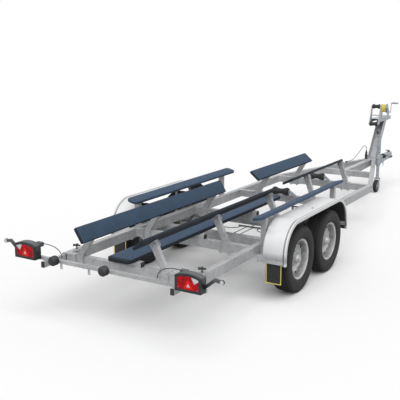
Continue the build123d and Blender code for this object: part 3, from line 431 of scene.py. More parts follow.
def feed(shader, **links):
    """Link what varies over the surface to the shader."""
    for socket, value in links.items():
        value.tree.links.new(value.link, shader.inputs[socket.replace("_", " ")])


def worn_finish(name, patches, tones, roughness, grain=None, grain_share=0, **constants):
    """Two tones that follow soft patches of wear, over a fine grain that may show in the tone too."""
    material, shader, place = finish(name, **constants)
    wear = place.noise(*patches)
    shade = wear
    if grain:
        scale, detail, strength, distance = grain
        fine = place.noise(scale, detail)
        feed(shader, Normal=fine.bump(strength, distance))
        if grain_share:
            shade = (1 - grain_share) * wear + grain_share * fine
    feed(shader, Base_Color=shade.mix(*tones), Roughness=roughness[0] + roughness[1] * wear)
    return material


def galvanised_steel():
    """Hot-dip zinc: crystals, cloudy grey patches and faint runs."""
    material, shader, place = finish("galvanised_steel", Metallic=0.35)
    crystals = place.make("TexVoronoi", {"Vector": place, "Scale": 55.0}, output="Color")
    crystal = place.make("SeparateColor", {"Color": crystals})
    clouds = place.noise(4.5, 5.0)
    runs = place.stretched(28.0, 28.0, 2.5).noise(1.0, 2.0)
    shade = 0.35 * crystal + 0.40 * clouds + 0.25 * runs
    tone = shade.mix((0.33, 0.34, 0.35), (0.60, 0.61, 0.62))
    roughness = 0.34 + 0.16 * clouds + 0.10 * crystal
    height = crystal * 0.4 + place.noise(160.0, 2.0) * 0.6
    feed(shader, Base_Color=tone, Roughness=roughness, Normal=height.bump(0.12, 0.001))
    return material


def pale_guard_sheet():
    """Pale rolled sheet: fine rolling lines, a dark line inside its edge that is painted shadow and dirt of
    the pressed groove, and a grey band low down that is painted shade and reflection.
    """
    material, shader, place = finish("pale_guard_sheet", Metallic=0.2)
    x, _, z = place.axes()
    from_middle = x.size()
    # Painted shadow with some dirt along the pressed groove inside the outer edge
    groove_shadow = (from_middle > groove_shadow_band[0]) * (from_middle < groove_shadow_band[1])
    # A grey band low on the guard's ends: painted shade and reflection
    low_shade = 0.60 * z.spread(*low_shade_start) * (1 - z.spread(*low_shade_fade))
    clouds = place.noise(3.0, 3.0)
    lines = place.stretched(90.0, 1.5, 90.0).noise(1.0, 2.0)
    sheet = (0.7 * clouds + 0.3 * lines).mix((0.70, 0.71, 0.715), (0.82, 0.825, 0.83))
    tone = (low_shade + 0.85 * groove_shadow).spread(0, 1).mix(sheet, (0.16, 0.165, 0.17))
    feed(shader, Base_Color=tone, Roughness=0.30 + 0.12 * clouds, Normal=lines.bump(0.05, 0.0006))
    return material


def lamp_plastic_greying_up():
    """Black lamp housings, greyer towards their tops."""
    material, shader, place = finish("lamp_plastic_greying_up")
    height = place.axes()[2]
    # Grey rises towards the top of each housing, over a soft noise
    greying = height.spread(*lamp_greying_heights) * (0.6 + 0.4 * place.noise(22.0, 4.0))
    grain = place.noise(600.0, 1.0)
    tone = greying.mix((0.013, 0.014, 0.015), (0.13, 0.14, 0.15))
    feed(shader, Base_Color=tone, Roughness=0.38 + 0.25 * greying, Normal=grain.bump(0.12, 0.0004))
    return material


def prism_red_lens():
    """Red lamp plastic over a grid of small prisms."""
    material, shader, place = finish("prism_red_lens", Coat_Weight=0.08, Coat_Roughness=0.06,
                                     Specular_IOR_Level=0.15)
    prisms = place.bands(55.0, "X") * place.bands(55.0, "Z")
    depth = place.noise(26.0, 2.0)
    tone = (0.4 * prisms + 0.6 * depth).mix((0.22, 0.001, 0.003), (0.72, 0.006, 0.014))
    feed(shader, Base_Color=tone, Roughness=0.16 + 0.12 * prisms, Normal=prisms.bump(0.35, 0.0015))
    return material


def red_reflector():
    """The reflector triangle: brighter red over finer prisms."""
    material, shader, place = finish("red_reflector", Specular_IOR_Level=0.15)
    prisms = place.bands(110.0, "X") * place.bands(110.0, "Z")
    tone = prisms.mix((0.72, 0.010, 0.006), (0.95, 0.040, 0.015))
    feed(shader, Base_Color=tone, Roughness=0.16 + 0.10 * prisms, Normal=prisms.bump(0.30, 0.0010))
    return material


def fluted_clear_lens():
    """Clear lamp plastic with upright flutes in front of a pale reflector."""
    material, shader, place = finish("fluted_clear_lens", Coat_Weight=0.6, Coat_Roughness=0.06)
    flutes = place.bands(80.0, "X")
    depth = place.noise(30.0, 2.0)
    tone = (0.5 * flutes + 0.5 * depth).mix((0.36, 0.39, 0.39), (0.82, 0.83, 0.83))
    feed(shader, Base_Color=tone, Roughness=0.14 + 0.10 * flutes, Normal=flutes.bump(0.35, 0.0012))
    return material


def woven_yellow_strap():
    """Woven polyester strap."""
    material, shader, place = finish("woven_yellow_strap")
    weave = place.bands(130.0, "X") * place.bands(90.0, "Z")
    dirt = place.noise(40.0, 4.0)
    tone = (0.6 * weave + 0.4 * dirt).mix((0.62, 0.44, 0.030), (0.90, 0.72, 0.12))
    feed(shader, Base_Color=tone, Roughness=0.70 + 0.15 * dirt, Normal=weave.bump(0.4, 0.0012))
    return material


finishes = {
    "galvanised": galvanised_steel(),
    # Plated steel with a cold blue cast
    "bright_zinc": worn_finish("cold_zinc", (22.0, 4.0), ((0.33, 0.38, 0.43), (0.56, 0.60, 0.64)),
                               (0.24, 0.16), (260.0, 2.0, 0.06, 0.0006), Metallic=0.85),
    "guard_sheet": pale_guard_sheet(),
    # Silver paint with flakes and a little road film
    "wheel_silver": worn_finish("silver_wheel_paint", (14.0, 5.0), ((0.40, 0.40, 0.395), (0.68, 0.69, 0.70)),
                                (0.26, 0.20), (700.0, 1.0, 0.04, 0.0004), 0.25, Metallic=0.30),
    # Black road rubber with a grey dusting
    "tyre_rubber": worn_finish("dusty_tyre_rubber", (18.0, 6.0),
                               ((0.009, 0.009, 0.009), (0.024, 0.0235, 0.023)),
                               (0.62, 0.25), (420.0, 2.0, 0.15, 0.0006), 0.3),
    # Navy moulded pad with a worn bloom
    "bunk_pad": worn_finish("navy_bunk_pad", (7.0, 5.0), ((0.024, 0.047, 0.088), (0.052, 0.094, 0.155)),
                            (0.50, 0.25), (300.0, 2.0, 0.2, 0.0008), 0.35, Specular_IOR_Level=0.3),
    "black_rubber": worn_finish("matt_black_rubber", (30.0, 4.0),
                                ((0.010, 0.011, 0.012), (0.026, 0.027, 0.028)),
                                (0.55, 0.25), (350.0, 3.0, 0.15, 0.0006)),
    "black_plastic": worn_finish("moulded_black_plastic", (16.0, 4.0),
                                 ((0.013, 0.014, 0.015), (0.030, 0.032, 0.034)),
                                 (0.36, 0.18), (600.0, 1.0, 0.12, 0.0004)),
    "red_lens": prism_red_lens(),
    "clear_lens": fluted_clear_lens(),
    "yellow_webbing": woven_yellow_strap(),
}
# Printed yellow edge of the flaps, a little dusty
flap_edging = worn_finish("yellow_edging", (35.0, 5.0), ((0.62, 0.51, 0.09), (0.86, 0.75, 0.20)),
                          (0.50, 0.25))
# The board under a pad: its edges, back and the grooves between ribs in a darker navy, as painted shade
shaded_bunk_board = worn_finish("bunk_board_painted_shade", (12.0, 4.0), ((0.007, 0.011, 0.018), (0.016, 0.024, 0.036)),
                         (0.60, 0.20), (260.0, 3.0, 0.2, 0.0008), Specular_IOR_Level=0.3)
# The wheel's barrel: the same silver, darkened as painted shade inside the rim
shaded_wheel_barrel = worn_finish("wheel_barrel_painted_shade", (20.0, 5.0), ((0.22, 0.218, 0.215), (0.40, 0.40, 0.40)),
                           (0.38, 0.25), Metallic=0.25)
lamp_reflector = red_reflector()

# The frame's own pieces take the finish of their slot
for row in frame["record"]["subparts"]:
    materials = frame["nodes"][row["node"]].data.materials
    materials.clear()
    materials.append(finishes[row["material_slot"]])
lamp_housings = frame["nodes"]["lamp_bodies"].data.materials
lamp_housings.clear()
lamp_housings.append(lamp_plastic_greying_up())


def deselect():
    """Leave nothing selected."""
    bpy.ops.object.select_all(action="DESELECT")


def open_piece(piece):
    """Select one piece alone and open it for editing."""
    deselect()
    piece.select_set(True)
    bpy.context.view_layer.objects.active = piece
    bpy.ops.object.mode_set(mode="EDIT")
    bpy.ops.mesh.select_mode(type="VERT")
    bpy.ops.mesh.select_all(action="SELECT")


def close_piece():
    """Go back to whole pieces."""
    bpy.ops.object.mode_set(mode="OBJECT")


def pick_faces(piece, wanted):
    """With the piece open, leave only the wanted faces selected."""
    bpy.ops.mesh.select_mode(type="FACE")
    bpy.ops.mesh.select_all(action="DESELECT")
    bpy.ops.object.mode_set(mode="OBJECT")
    for face in piece.data.polygons:
        face.select = wanted(face)
    bpy.ops.object.mode_set(mode="EDIT")


def pick_edges(piece, wanted):
    """With the piece open, leave only the wanted edges selected, told by their two ends."""
    bpy.ops.mesh.select_mode(type="EDGE")
    bpy.ops.mesh.select_all(action="DESELECT")
    bpy.ops.object.mode_set(mode="OBJECT")
    points = piece.data.vertices
    for edge in piece.data.edges:
        edge.select = wanted(*[points[index].co for index in edge.vertices])
    bpy.ops.object.mode_set(mode="EDIT")


def block(low, high):
    """A box between two corners, open for editing."""
    deselect()
    low, high = Vector(low), Vector(high)
    bpy.ops.mesh.primitive_cube_add(size=1, location=(low + high) / 2)
    piece = bpy.context.object
    piece.scale = high - low
    bpy.ops.object.transform_apply(location=True, rotation=True, scale=True)
    open_piece(piece)
    return piece


def soft_block(low, high, edge, steps=2):
    """A box between two corners with rounded edges."""
    piece = block(low, high)
    bpy.ops.mesh.bevel(offset=edge, segments=steps, affect="EDGES")
    close_piece()
    return piece


def drawn_line(points):
    """A line through points, open for editing."""
    deselect()
    bpy.ops.mesh.primitive_plane_add(size=0.01)
    piece = bpy.context.object
    open_piece(piece)
    bpy.ops.mesh.merge(type="CENTER")
    bpy.ops.transform.translate(value=points[0])
    for start, end in zip(points, points[1:]):
        step = Vector(end) - Vector(start)
        bpy.ops.mesh.extrude_vertices_move(TRANSFORM_OT_translate={"value": step})
    bpy.ops.mesh.select_all(action="SELECT")
    return piece


def turned(section, axis, steps):
    """A line of points turned once round an axis through the origin into a closed skin."""
    piece = drawn_line(section)
    bpy.ops.mesh.spin(steps=steps, angle=2 * pi, center=(0, 0, 0), axis=axis)
    bpy.ops.mesh.select_all(action="SELECT")
    bpy.ops.mesh.remove_doubles(threshold=merge_distance)
    bpy.ops.mesh.normals_make_consistent(inside=False)
    close_piece()
    return piece


def turned_up(section, steps):
    """Rows of radius and height turned round the Z axis."""
    return turned([(radius, 0, height) for radius, height in section], (0, 0, 1), steps)


def turned_across(section, steps):
    """Rows of place along X and radius turned round the X axis."""
    return turned([(out, 0, radius) for out, radius in section], (1, 0, 0), steps)


def both_halves(half):
    """A closed section from its half on the +X side."""
    other = [(-out, radius) for out, radius in reversed(half) if out]
    return half + other + half[:1]


def ring_step(face, steps):
    """Which of the steps round the X axis a face lies in."""
    return floor(atan2(face.center.z, face.center.y) / (2 * pi / steps))


def ring_radius(face):
    """How far a face lies from the X axis."""
    return hypot(face.center.y, face.center.z)


def paint_picked(piece, index):
    """Give the picked faces another of the piece's materials."""
    piece.active_material_index = index
    bpy.ops.object.material_slot_assign()


def copy_to(model, placement):
    """A copy of a modelled piece with its own mesh, moved to its place."""
    piece = model.copy()
    piece.data = model.data.copy()
    bpy.context.collection.objects.link(piece)
    piece.data.transform(placement)
    return piece


def standing_at(point, direction):
    """The placement that stands a piece modelled up +Z on a point, facing a direction."""
    turn = Vector(direction).to_track_quat("Z", "Y")
    return Matrix.Translation(point) @ turn.to_matrix().to_4x4()


def join(pieces):
    """Several pieces as one."""
    deselect()
    for piece in pieces:
        piece.select_set(True)
    bpy.context.view_layer.objects.active = pieces[0]
    bpy.ops.object.join()
    return pieces[0]


def scatter(model, placements):
    """Copies of one model in all its places, joined, and the model put away."""
    piece = join([copy_to(model, placement) for placement in placements])
    bpy.data.objects.remove(model)
    return piece


def settle(piece, name, body, slot, *replaced):
    """Name a finished piece, give it its finish and hang it on its body."""
    deselect()
    piece.select_set(True)
    bpy.context.view_layer.objects.active = piece
    bpy.ops.object.transform_apply(location=True, rotation=True, scale=True)
    bpy.ops.object.shade_smooth_by_angle(angle=smooth_angle)
    piece.name = name
    piece.data.name = name
    if not piece.data.materials:
        piece.data.materials.append(finishes[slot])
    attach(piece, body)
    if replaced:
        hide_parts(*replaced)


def road_tyre():
    """A tyre round the X axis: ringed sidewalls, ribs between grooves and slotted shoulders."""
    tyre = turned_across(both_halves(tyre_half_section), tread_steps)

    def slotted(face, near, far, shift):
        step = ring_step(face, tread_steps) + shift
        on_row = ring_radius(face) > tread_inside and near < abs(face.center.x) < far
        return on_row and step % tread_slot_every == 0

    open_piece(tyre)
    for near, far, shift, depth in tread_slot_rows:
        pick_faces(tyre, lambda face: slotted(face, near, far, shift))
        bpy.ops.mesh.extrude_region_shrink_fatten(TRANSFORM_OT_shrink_fatten={"value": -depth})
    close_piece()
    return tyre


def hex_head(width, height):
    """A hexagon head with a chamfered top on its washer, standing on the origin along +Z."""
    washer_radius = 0.78 * width
    washer_thickness = 0.14 * width
    chamfer = 0.10 * width
    deselect()
    bpy.ops.mesh.primitive_cylinder_add(vertices=16, radius=washer_radius, depth=washer_thickness,
                                        location=(0, 0, washer_thickness / 2))
    washer = bpy.context.object
    open_piece(washer)
    pick_faces(washer, lambda face: face.normal.z > 0.9)
    bpy.ops.mesh.inset(thickness=chamfer / 2)
    bpy.ops.transform.translate(value=(0, 0, chamfer / 3))
    close_piece()
    deselect()
    bpy.ops.mesh.primitive_cylinder_add(vertices=6, radius=width / 3 ** 0.5, depth=height,
                                        location=(0, 0, washer_thickness + height / 2))
    head = bpy.context.object
    open_piece(head)
    pick_faces(head, lambda face: face.normal.z > 0.9)
    bpy.ops.mesh.inset(thickness=chamfer)
    bpy.ops.transform.translate(value=(0, 0, chamfer / 2))
    close_piece()
    return join([washer, head])


def bolt_down(name, body, slot, size, places):
    """A set of hexagon bolts, each at its point and facing its direction."""
    bolts = scatter(hex_head(*size), [standing_at(point, facing) for point, facing in places])
    settle(bolts, name, body, slot)


def road_wheel():
    """A wheel round the X axis, its outer face towards +X, its barrel darker and the slots round its disc
    black, both as painted shade.
    """
    wheel = turned_across(wheel_section, wheel_steps)
    steps_per_slot = wheel_steps // wheel_slot_count

    def slotted(face):
        on_face = wheel_slot_band[0] < ring_radius(face) < wheel_slot_band[1] and face.normal.x > 0.2
        return on_face and ring_step(face, wheel_steps) % steps_per_slot < steps_per_slot // 2

    for material in (finishes["wheel_silver"], finishes["black_rubber"], shaded_wheel_barrel):
        wheel.data.materials.append(material)
    open_piece(wheel)
    # The barrel inside the rim takes the darker silver of painted shade
    pick_faces(wheel, lambda face: face.center.x < barrel_out and ring_radius(face) > barrel_radius)
    paint_picked(wheel, 2)
    pick_faces(wheel, slotted)
    bpy.ops.mesh.extrude_region_move(TRANSFORM_OT_translate={"value": (-wheel_slot_depth, 0, 0)})
    # The slots' recesses and their rims are painted black as the shade seen through the slots
    bpy.ops.mesh.select_more()
    paint_picked(wheel, 1)
    close_piece()
    return wheel


# Tyres and wheels, and the nuts and valve of each
tyre_model = road_tyre()
wheel_model = road_wheel()
for corner in wheel_corners:
    hub = joint_places[f"wheel_{corner}_spin"]
    side = 1 if hub.x > 0 else -1
    facing = Matrix.Rotation(0 if side > 0 else pi, 4, "Z")
    tyre = copy_to(tyre_model, Matrix.Translation(hub) @ facing)
    settle(tyre, f"road_tyre_{corner}", f"wheel_{corner}", "tyre_rubber", f"tyre_{corner}")
    wheel = copy_to(wheel_model, Matrix.Translation(hub) @ facing)
    settle(wheel, f"road_wheel_{corner}", f"wheel_{corner}", "wheel_silver", f"wheel_{corner}")

    nut_places = []
    for index in range(nut_count):
        angle = 2 * pi * (index + nut_turn) / nut_count
        nut_place = hub + Vector((side * wheel_face_out, nut_circle * cos(angle), nut_circle * sin(angle)))
        nut_places.append(standing_at(nut_place, (side, 0, 0)))
    nuts = scatter(hex_head(*nut_size), nut_places)
    settle(nuts, f"wheel_nuts_{corner}", f"wheel_{corner}", "bright_zinc")

    valve_place = hub + Vector((side * wheel_face_out, 0, valve_radius_out))
    valve = scatter(turned_up(valve_section, small_steps), [standing_at(valve_place, (side, 0, 0))])
    settle(valve, f"wheel_valve_{corner}", f"wheel_{corner}", "black_rubber")
bpy.data.objects.remove(tyre_model)
bpy.data.objects.remove(wheel_model)


def ribbed_board(length, width, thickness, corner, backing):
    """A board with its padded face up at the origin, its length along X and fine ribs across it."""
    board = block((-length / 2, -width / 2, -thickness), (length / 2, width / 2, -rib_height / 2))
    pick_edges(board, lambda start, end: abs(start.z - end.z) > thickness / 2)
    bpy.ops.mesh.bevel(offset=corner, segments=6, affect="EDGES")
    pick_edges(board, lambda start, end: abs(start.z - end.z) < rib_height / 4)
    bpy.ops.mesh.bevel(offset=soft_edge, segments=3, affect="EDGES", clamp_overlap=True)
    close_piece()
    board.data.materials.append(backing)

    rib_run = length - 2 * corner
    rib_reach = width / 2 - soft_edge
    first = -rib_run / 2
    rib = block((first, -rib_reach, -2 * rib_height), (first + rib_width, rib_reach, 0))
    pick_edges(rib, lambda start, end: start.z > -rib_height and end.z > -rib_height)
    bpy.ops.mesh.bevel(offset=rib_height * 0.6, segments=2, affect="EDGES")
    close_piece()
    row = rib.modifiers.new("row", "ARRAY")
    row.count = int((rib_run - rib_width) / rib_pitch) + 1
    row.use_relative_offset = False
    row.use_constant_offset = True
    row.constant_offset_displace = (rib_pitch, 0, 0)
    bpy.ops.object.modifier_apply(modifier="row")
    rib.data.materials.append(finishes["bunk_pad"])
    return join([board, rib])


def board_slope(side, tilt):
    """The direction up across a board, and the one out of its padded face."""
    lean = radians(tilt)
    return Vector((side * cos(lean), 0, sin(lean))), Vector((-side * sin(lean), 0, cos(lean)))


def on_board(side, edge_x, edge_z, tilt, width, span):
    """The placement of a board whose padded face looks up at the hull."""
    slope, normal = board_slope(side, tilt)
    forward = Vector((0, 1, 0))
    turn = Matrix((forward, normal.cross(forward), normal)).transposed()
    middle = Vector((side * edge_x, sum(span) / 2, edge_z)) - slope * (width / 2)
    return Matrix.Translation(middle) @ turn.to_4x4()


# Bunks and keel plank
for node in ("rear_bunks", "front_bunks", "side_bunks"):
    boards = []
    # Backs, edges and rib grooves of the bunks are darkened as painted shade; the side bunks keep the pad's
    # navy
    backing = finishes["bunk_pad"] if node == "side_bunks" else shaded_bunk_board
    for row_node, side, edge_x, edge_z, tilt, width, corner, span in board_rows:
        if row_node == node:
            board = ribbed_board(span[1] - span[0], width, board_thickness, corner, backing)
            board.data.transform(on_board(side, edge_x, edge_z, tilt, width, span))
            boards.append(board)
    settle(join(boards), f"ribbed_{node}", "chassis", "bunk_pad", node)

plank_low, plank_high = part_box("keel_plank")
plank_size = plank_high - plank_low
# The keel plank's back, edges and rib grooves also take the painted shade
plank = ribbed_board(plank_size.y, plank_size.x, plank_size.z, plank_corner, shaded_bunk_board)
plank_middle = (plank_low + plank_high) / 2
plank.data.transform(Matrix.Translation((plank_middle.x, plank_middle.y, plank_high.z))
                     @ Matrix.Rotation(pi / 2, 4, "Z"))
settle(plank, "ribbed_keel_plank", "chassis", "bunk_pad", "keel_plank")


def rubber_flap():
    """A flap in the XZ plane with its rear face at y 0, round corners and a yellow edge."""
    low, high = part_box("mudflaps")
    half_width = (high.x - low.x) / 2 - flap_x
    thickness = high.y - low.y
    flap = block((-half_width, 0, flap_bottom), (half_width, thickness, high.z))
    pick_edges(flap, lambda start, end: abs(start.y - end.y) > thickness / 2)
    bpy.ops.mesh.bevel(offset=flap_corner, segments=5, affect="EDGES")
    pick_faces(flap, lambda face: face.normal.y < -0.9)
    bpy.ops.mesh.inset(thickness=edge_margin)
    bpy.ops.mesh.inset(thickness=edge_width)

    def on_edge(face):
        middle = face.center
        inset = min(half_width - abs(middle.x), middle.z - flap_bottom)
        return face.normal.y < -0.9 and edge_margin < inset < edge_margin + edge_width

    flap.data.materials.append(finishes["black_rubber"])
    flap.data.materials.append(flap_edging)
    pick_faces(flap, on_edge)
    paint_picked(flap, 1)
    close_piece()
    return flap


flap_low, flap_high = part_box("mudflaps")
flaps = scatter(rubber_flap(), [Matrix.Translation((x, flap_low.y, 0)) for x in (-flap_x, flap_x)])
settle(flaps, "rubber_flaps", "chassis", "black_rubber", "mudflaps")


def outline_face(points):
    """A flat face through a ring of points, open for editing."""
    piece = drawn_line(points)
    bpy.ops.mesh.edge_face_add()
    return piece


def lamp_outline():
    """The corners of a lamp's face about its middle at floor height: square below, arched on top."""
    low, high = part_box("red_lenses")
    half = lamp_width / 2
    bottom = low.z - lamp_inset
    crown = high.z + lamp_inset
    arch_drop = crown - lamp_shoulder
    arch_radius = (half ** 2 + arch_drop ** 2) / (2 * arch_drop)
    points = [(-half, 0, bottom), (half, 0, bottom)]
    for step in range(arch_steps + 1):
        x = half - lamp_width * step / arch_steps
        z = crown - arch_radius + (arch_radius ** 2 - x ** 2) ** 0.5
        points.append((x, 0, z))
    return points


def lamp_bezel():
    """The black frame round a lamp's lens, its rear edge at y 0."""
    bezel = outline_face(lamp_outline())
    bpy.ops.mesh.inset(thickness=lamp_inset + bezel_lip)
    bpy.ops.mesh.delete(type="ONLY_FACE")
    bpy.ops.mesh.select_all(action="SELECT")
    bpy.ops.mesh.extrude_region_move(TRANSFORM_OT_translate={"value": (0, bezel_depth, 0)})
    bpy.ops.mesh.select_all(action="SELECT")
    bpy.ops.mesh.normals_make_consistent(inside=False)
    pick_edges(bezel, lambda start, end: abs(start.y) + abs(end.y) < 0.0001)
    bpy.ops.mesh.bevel(offset=bezel_edge, segments=2, affect="EDGES")
    close_piece()
    return bezel


def moulded_lenses(node):
    """A copy of the frame's lenses, set back behind the bezel with a pillowed face."""
    lenses = copy_to(frame["nodes"][node], Matrix.Identity(4))
    open_piece(lenses)
    bpy.ops.mesh.remove_doubles(threshold=merge_distance)
    pick_faces(lenses, lambda face: face.normal.y < -0.95)
    bpy.ops.transform.translate(value=(0, lens_set_back, 0))
    bpy.ops.mesh.inset(thickness=lens_border, use_individual=False)
    bpy.ops.transform.translate(value=(0, -lens_set_back / 3, 0))
    close_piece()
    return lenses


def triangle(radius, thickness):
    """A triangular reflector with its point up, its back at y 0 and its edges softened."""
    deselect()
    bpy.ops.mesh.primitive_cylinder_add(vertices=3, radius=radius, depth=thickness)
    piece = bpy.context.object
    piece.data.transform(Matrix.Rotation(pi / 2, 4, "X"))
    piece.data.transform(Matrix.Translation((0, -thickness / 2, 0)))
    open_piece(piece)
    bpy.ops.mesh.bevel(offset=thickness * 0.4, segments=2, affect="EDGES")
    close_piece()
    return piece


# Lamps: bezels, lenses, reflectors with a small pale triangle of painted highlight on each, and screws
lens_low, lens_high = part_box("red_lenses")
lens_middle_z = (lens_low.z + lens_high.z) / 2
bezel_y = lens_low.y + bezel_set_back
bezels = scatter(lamp_bezel(), [Matrix.Translation((side * lamp_x, bezel_y, 0)) for side in (-1, 1)])
settle(bezels, "lamp_bezels", "light_board", "black_plastic")
settle(moulded_lenses("red_lenses"), "moulded_red_lenses", "light_board", "red_lens", "red_lenses")
settle(moulded_lenses("clear_lenses"), "moulded_clear_lenses", "light_board", "clear_lens", "clear_lenses")
reflector_back = lens_low.y + lens_set_back
reflector_places = []
highlight_places = []
screw_places = []
for side in (-1, 1):
    middle = Vector((side * lamp_x + reflector_shift, reflector_back, lens_middle_z - reflector_drop))
    reflector_places.append(Matrix.Translation(middle))
    highlight_places.append(Matrix.Translation(middle + Vector((0, -reflector_thickness / 2, 0))))
    for across in (-lens_screw_in, lens_screw_in):
        screw_place = Vector((side * lamp_x + across, reflector_back, lens_middle_z - lens_screw_down))
        screw_places.append(standing_at(screw_place, (0, -1, 0)))
reflectors = scatter(triangle(reflector_radius, reflector_thickness), reflector_places)
reflectors.data.materials.append(lamp_reflector)
settle(reflectors, "reflector_triangles", "light_board", "red_lens")
# A small pale triangle in front of each reflector is a painted highlight
reflector_highlights = scatter(triangle(reflector_highlight_radius, reflector_thickness), highlight_places)
settle(reflector_highlights, "reflector_highlights", "light_board", "clear_lens")
lens_screws = scatter(turned_up(lens_screw_section, small_steps), screw_places)
settle(lens_screws, "lens_screws", "light_board", "bright_zinc")

# Ribbed domes over the number-plate lamps
dome_places = [standing_at((x, plate_lamp_y, plate_lamp_z), (0, -1, 0)) for x in plate_lamp_x]
domes = scatter(turned_up(plate_lamp_section, dome_steps), dome_places)
settle(domes, "plate_lamp_domes", "light_board", "black_plastic")


def star_knob():
    """A black three-armed knob on the screw's stem, its foot at the origin along +Z."""
    parts = [turned_up(knob_section, knob_steps)]
    arm = soft_block(knob_arm_low, knob_arm_high, knob_arm_edge, 3)
    for turn in range(knob_arm_count):
        parts.append(copy_to(arm, Matrix.Rotation(2 * pi * turn / knob_arm_count, 4, "Z")))
    bpy.data.objects.remove(arm)
    return join(parts)


screw_low, screw_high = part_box("clamp_screws")
knob_y = (screw_low.y + screw_high.y) / 2
knob_x = screw_high.x - screw_handle / 2
knob_places = [Matrix.Translation((side * knob_x, knob_y, screw_high.z - knob_drop)) for side in (-1, 1)]
settle(scatter(star_knob(), knob_places), "screw_knobs", "chassis", "black_plastic")


def guard_path(inset):
    """Points along a mudguard's skin, seen from the side: up its rear, over the top and down its front."""
    low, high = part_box("mudguard_right")
    rear = low.y + guard_bead + inset
    front = high.y - guard_bead - inset
    top = high.z - guard_bead - inset
    bend = guard_corner - inset
    points = [(0, rear, low.z)]
    for turn in range(guard_bend_steps + 1):
        angle = pi - pi / 2 * turn / guard_bend_steps
        points.append((0, rear + bend + bend * cos(angle), top - bend + bend * sin(angle)))
    for turn in range(guard_bend_steps + 1):
        angle = pi / 2 - pi / 2 * turn / guard_bend_steps
        points.append((0, front - bend + bend * cos(angle), top - bend + bend * sin(angle)))
    points.append((0, front, low.z))
    return points


def guard_shade_sheet():
    """A black sheet of painted shade under a mudguard's skin, from x 0 inwards."""
    shade_sheet = drawn_line(guard_path(shade_sheet_inset))
    bpy.ops.mesh.extrude_region_move(TRANSFORM_OT_translate={"value": (shade_sheet_width, 0, 0)})
    close_piece()
    skin = shade_sheet.modifiers.new("skin", "SOLIDIFY")
    skin.thickness = shade_sheet_thickness
    skin.offset = 0
    bpy.ops.object.modifier_apply(modifier="skin")
    return shade_sheet


guard_low, guard_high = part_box("mudguard_right")
# Black sheets under both mudguards stand for the shade inside them
shade_sheet_start = guard_low.x + shade_sheet_from_edge
shade_sheet_places = [Matrix.Translation((x, 0, 0)) for x in (shade_sheet_start, -shade_sheet_start - shade_sheet_width)]
settle(scatter(guard_shade_sheet(), shade_sheet_places), "guard_shade_sheets", "chassis", "black_rubber")


def flap_carrier():
    """The angle strip over a flap that ties the mudguard's rear edge in towards the rail, at y 0."""
    shelf = soft_block((carrier_x[0], -carrier_depth, 0), (carrier_x[1], 0, carrier_sheet), carrier_edge)
    upstand = soft_block((carrier_x[0], -carrier_sheet, 0), (carrier_x[1], 0, carrier_rise), carrier_edge)
    return join([shelf, upstand])


carrier_place = Matrix.Translation((0, flap_high.y - carrier_overlap, flap_high.z))
mirrored = Matrix.Translation((-carrier_x[0] - carrier_x[1], 0, 0))
settle(scatter(flap_carrier(), [carrier_place, mirrored @ carrier_place]), "flap_carriers", "chassis",
       "galvanised")


def end_cap():
    """A ribbed black plug in the end of a keel tube, its back at x 0."""
    low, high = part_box("keel_tubes")
    half_width = keel_tube_width / 2
    cap = block((0, -half_width, low.z), (cap_rim, half_width, high.z))
    pick_faces(cap, lambda face: face.normal.x > 0.9)
    bpy.ops.mesh.inset(thickness=cap_border)
    bpy.ops.transform.translate(value=(cap_rise, 0, 0))
    close_piece()
    return cap


tube_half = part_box("keel_tubes")[1].x
cap_places = []
for y in keel_cross_y:
    cap_places.append(Matrix.Translation((tube_half, y, 0)))
    cap_places.append(Matrix.Translation((-tube_half, y, 0)) @ Matrix.Rotation(pi, 4, "Z"))
settle(scatter(end_cap(), cap_places), "keel_tube_caps", "chassis", "black_plastic")


def strut_cheek():
    """A head plate beside a strut: its top edge along X at the board's back, its lower corners cut."""
    half, drop = cheek_width / 2, cheek_drop
    cheek = block((-half, -cheek_sheet / 2, -drop), (half, cheek_sheet / 2, 0))
    pick_edges(cheek, lambda start, end: abs(start.y - end.y) > cheek_sheet / 2 and start.z < -drop / 2)
    bpy.ops.mesh.bevel(offset=cheek_cut, segments=4, affect="EDGES")
    close_piece()
    return cheek


# Head plates on the bunks' struts, and their bolts
cheek_places = []
frame_bolts = []
for row, reach in zip(board_rows, strut_reaches):
    node, side, edge_x, edge_z, tilt, width = row[:6]
    slope, normal = board_slope(side, tilt)
    head = Vector((side * edge_x, 0, edge_z)) - slope * (width - reach) - normal * board_thickness
    turn = Matrix((slope, normal.cross(slope), normal)).transposed().to_4x4()
    for y in keel_cross_y if node == "rear_bunks" else front_cross_y:
        for face in (-1, 1):
            cheek_y = y + face * (strut_depth + cheek_sheet) / 2
            cheek_places.append(Matrix.Translation((head.x, cheek_y, head.z)) @ turn)
            for across in (-cheek_bolt, cheek_bolt):
                bolt = head + slope * across - normal * cheek_drop / 2
                frame_bolts.append(((bolt.x, cheek_y + face * cheek_sheet / 2, bolt.z), (0, face, 0)))
settle(scatter(strut_cheek(), cheek_places), "strut_cheeks", "chassis", "galvanised")

# Nuts under the struts' clamps
for foot_x, cross_places in strut_feet:
    for y in cross_places:
        for across in (-clamp_nut_x, clamp_nut_x):
            for along in (-clamp_nut_y, clamp_nut_y):
                frame_bolts.append(((foot_x + across, y + along, clamp_nut_z), (0, 0, -1)))

# Bolts on both sides of the frame
for x, distance, z in side_bolt_rows:
    for side in (-1, 1):
        frame_bolts.append(((side * x, ahead(distance), z), (side, 0, 0)))

# Bolts through the mudguards: on top over the middle stay, and through the ends into the others
for x in guard_bolt_x:
    for side in (-1, 1):
        frame_bolts.append(((side * x, guard_top_bolt_y, guard_high.z - guard_bead), (0, 0, 1)))
        frame_bolts.append(((side * x, guard_low.y + guard_bead, guard_end_bolt_z), (0, -1, 0)))
        frame_bolts.append(((side * x, guard_high.y - guard_bead, guard_end_bolt_z), (0, 1, 0)))

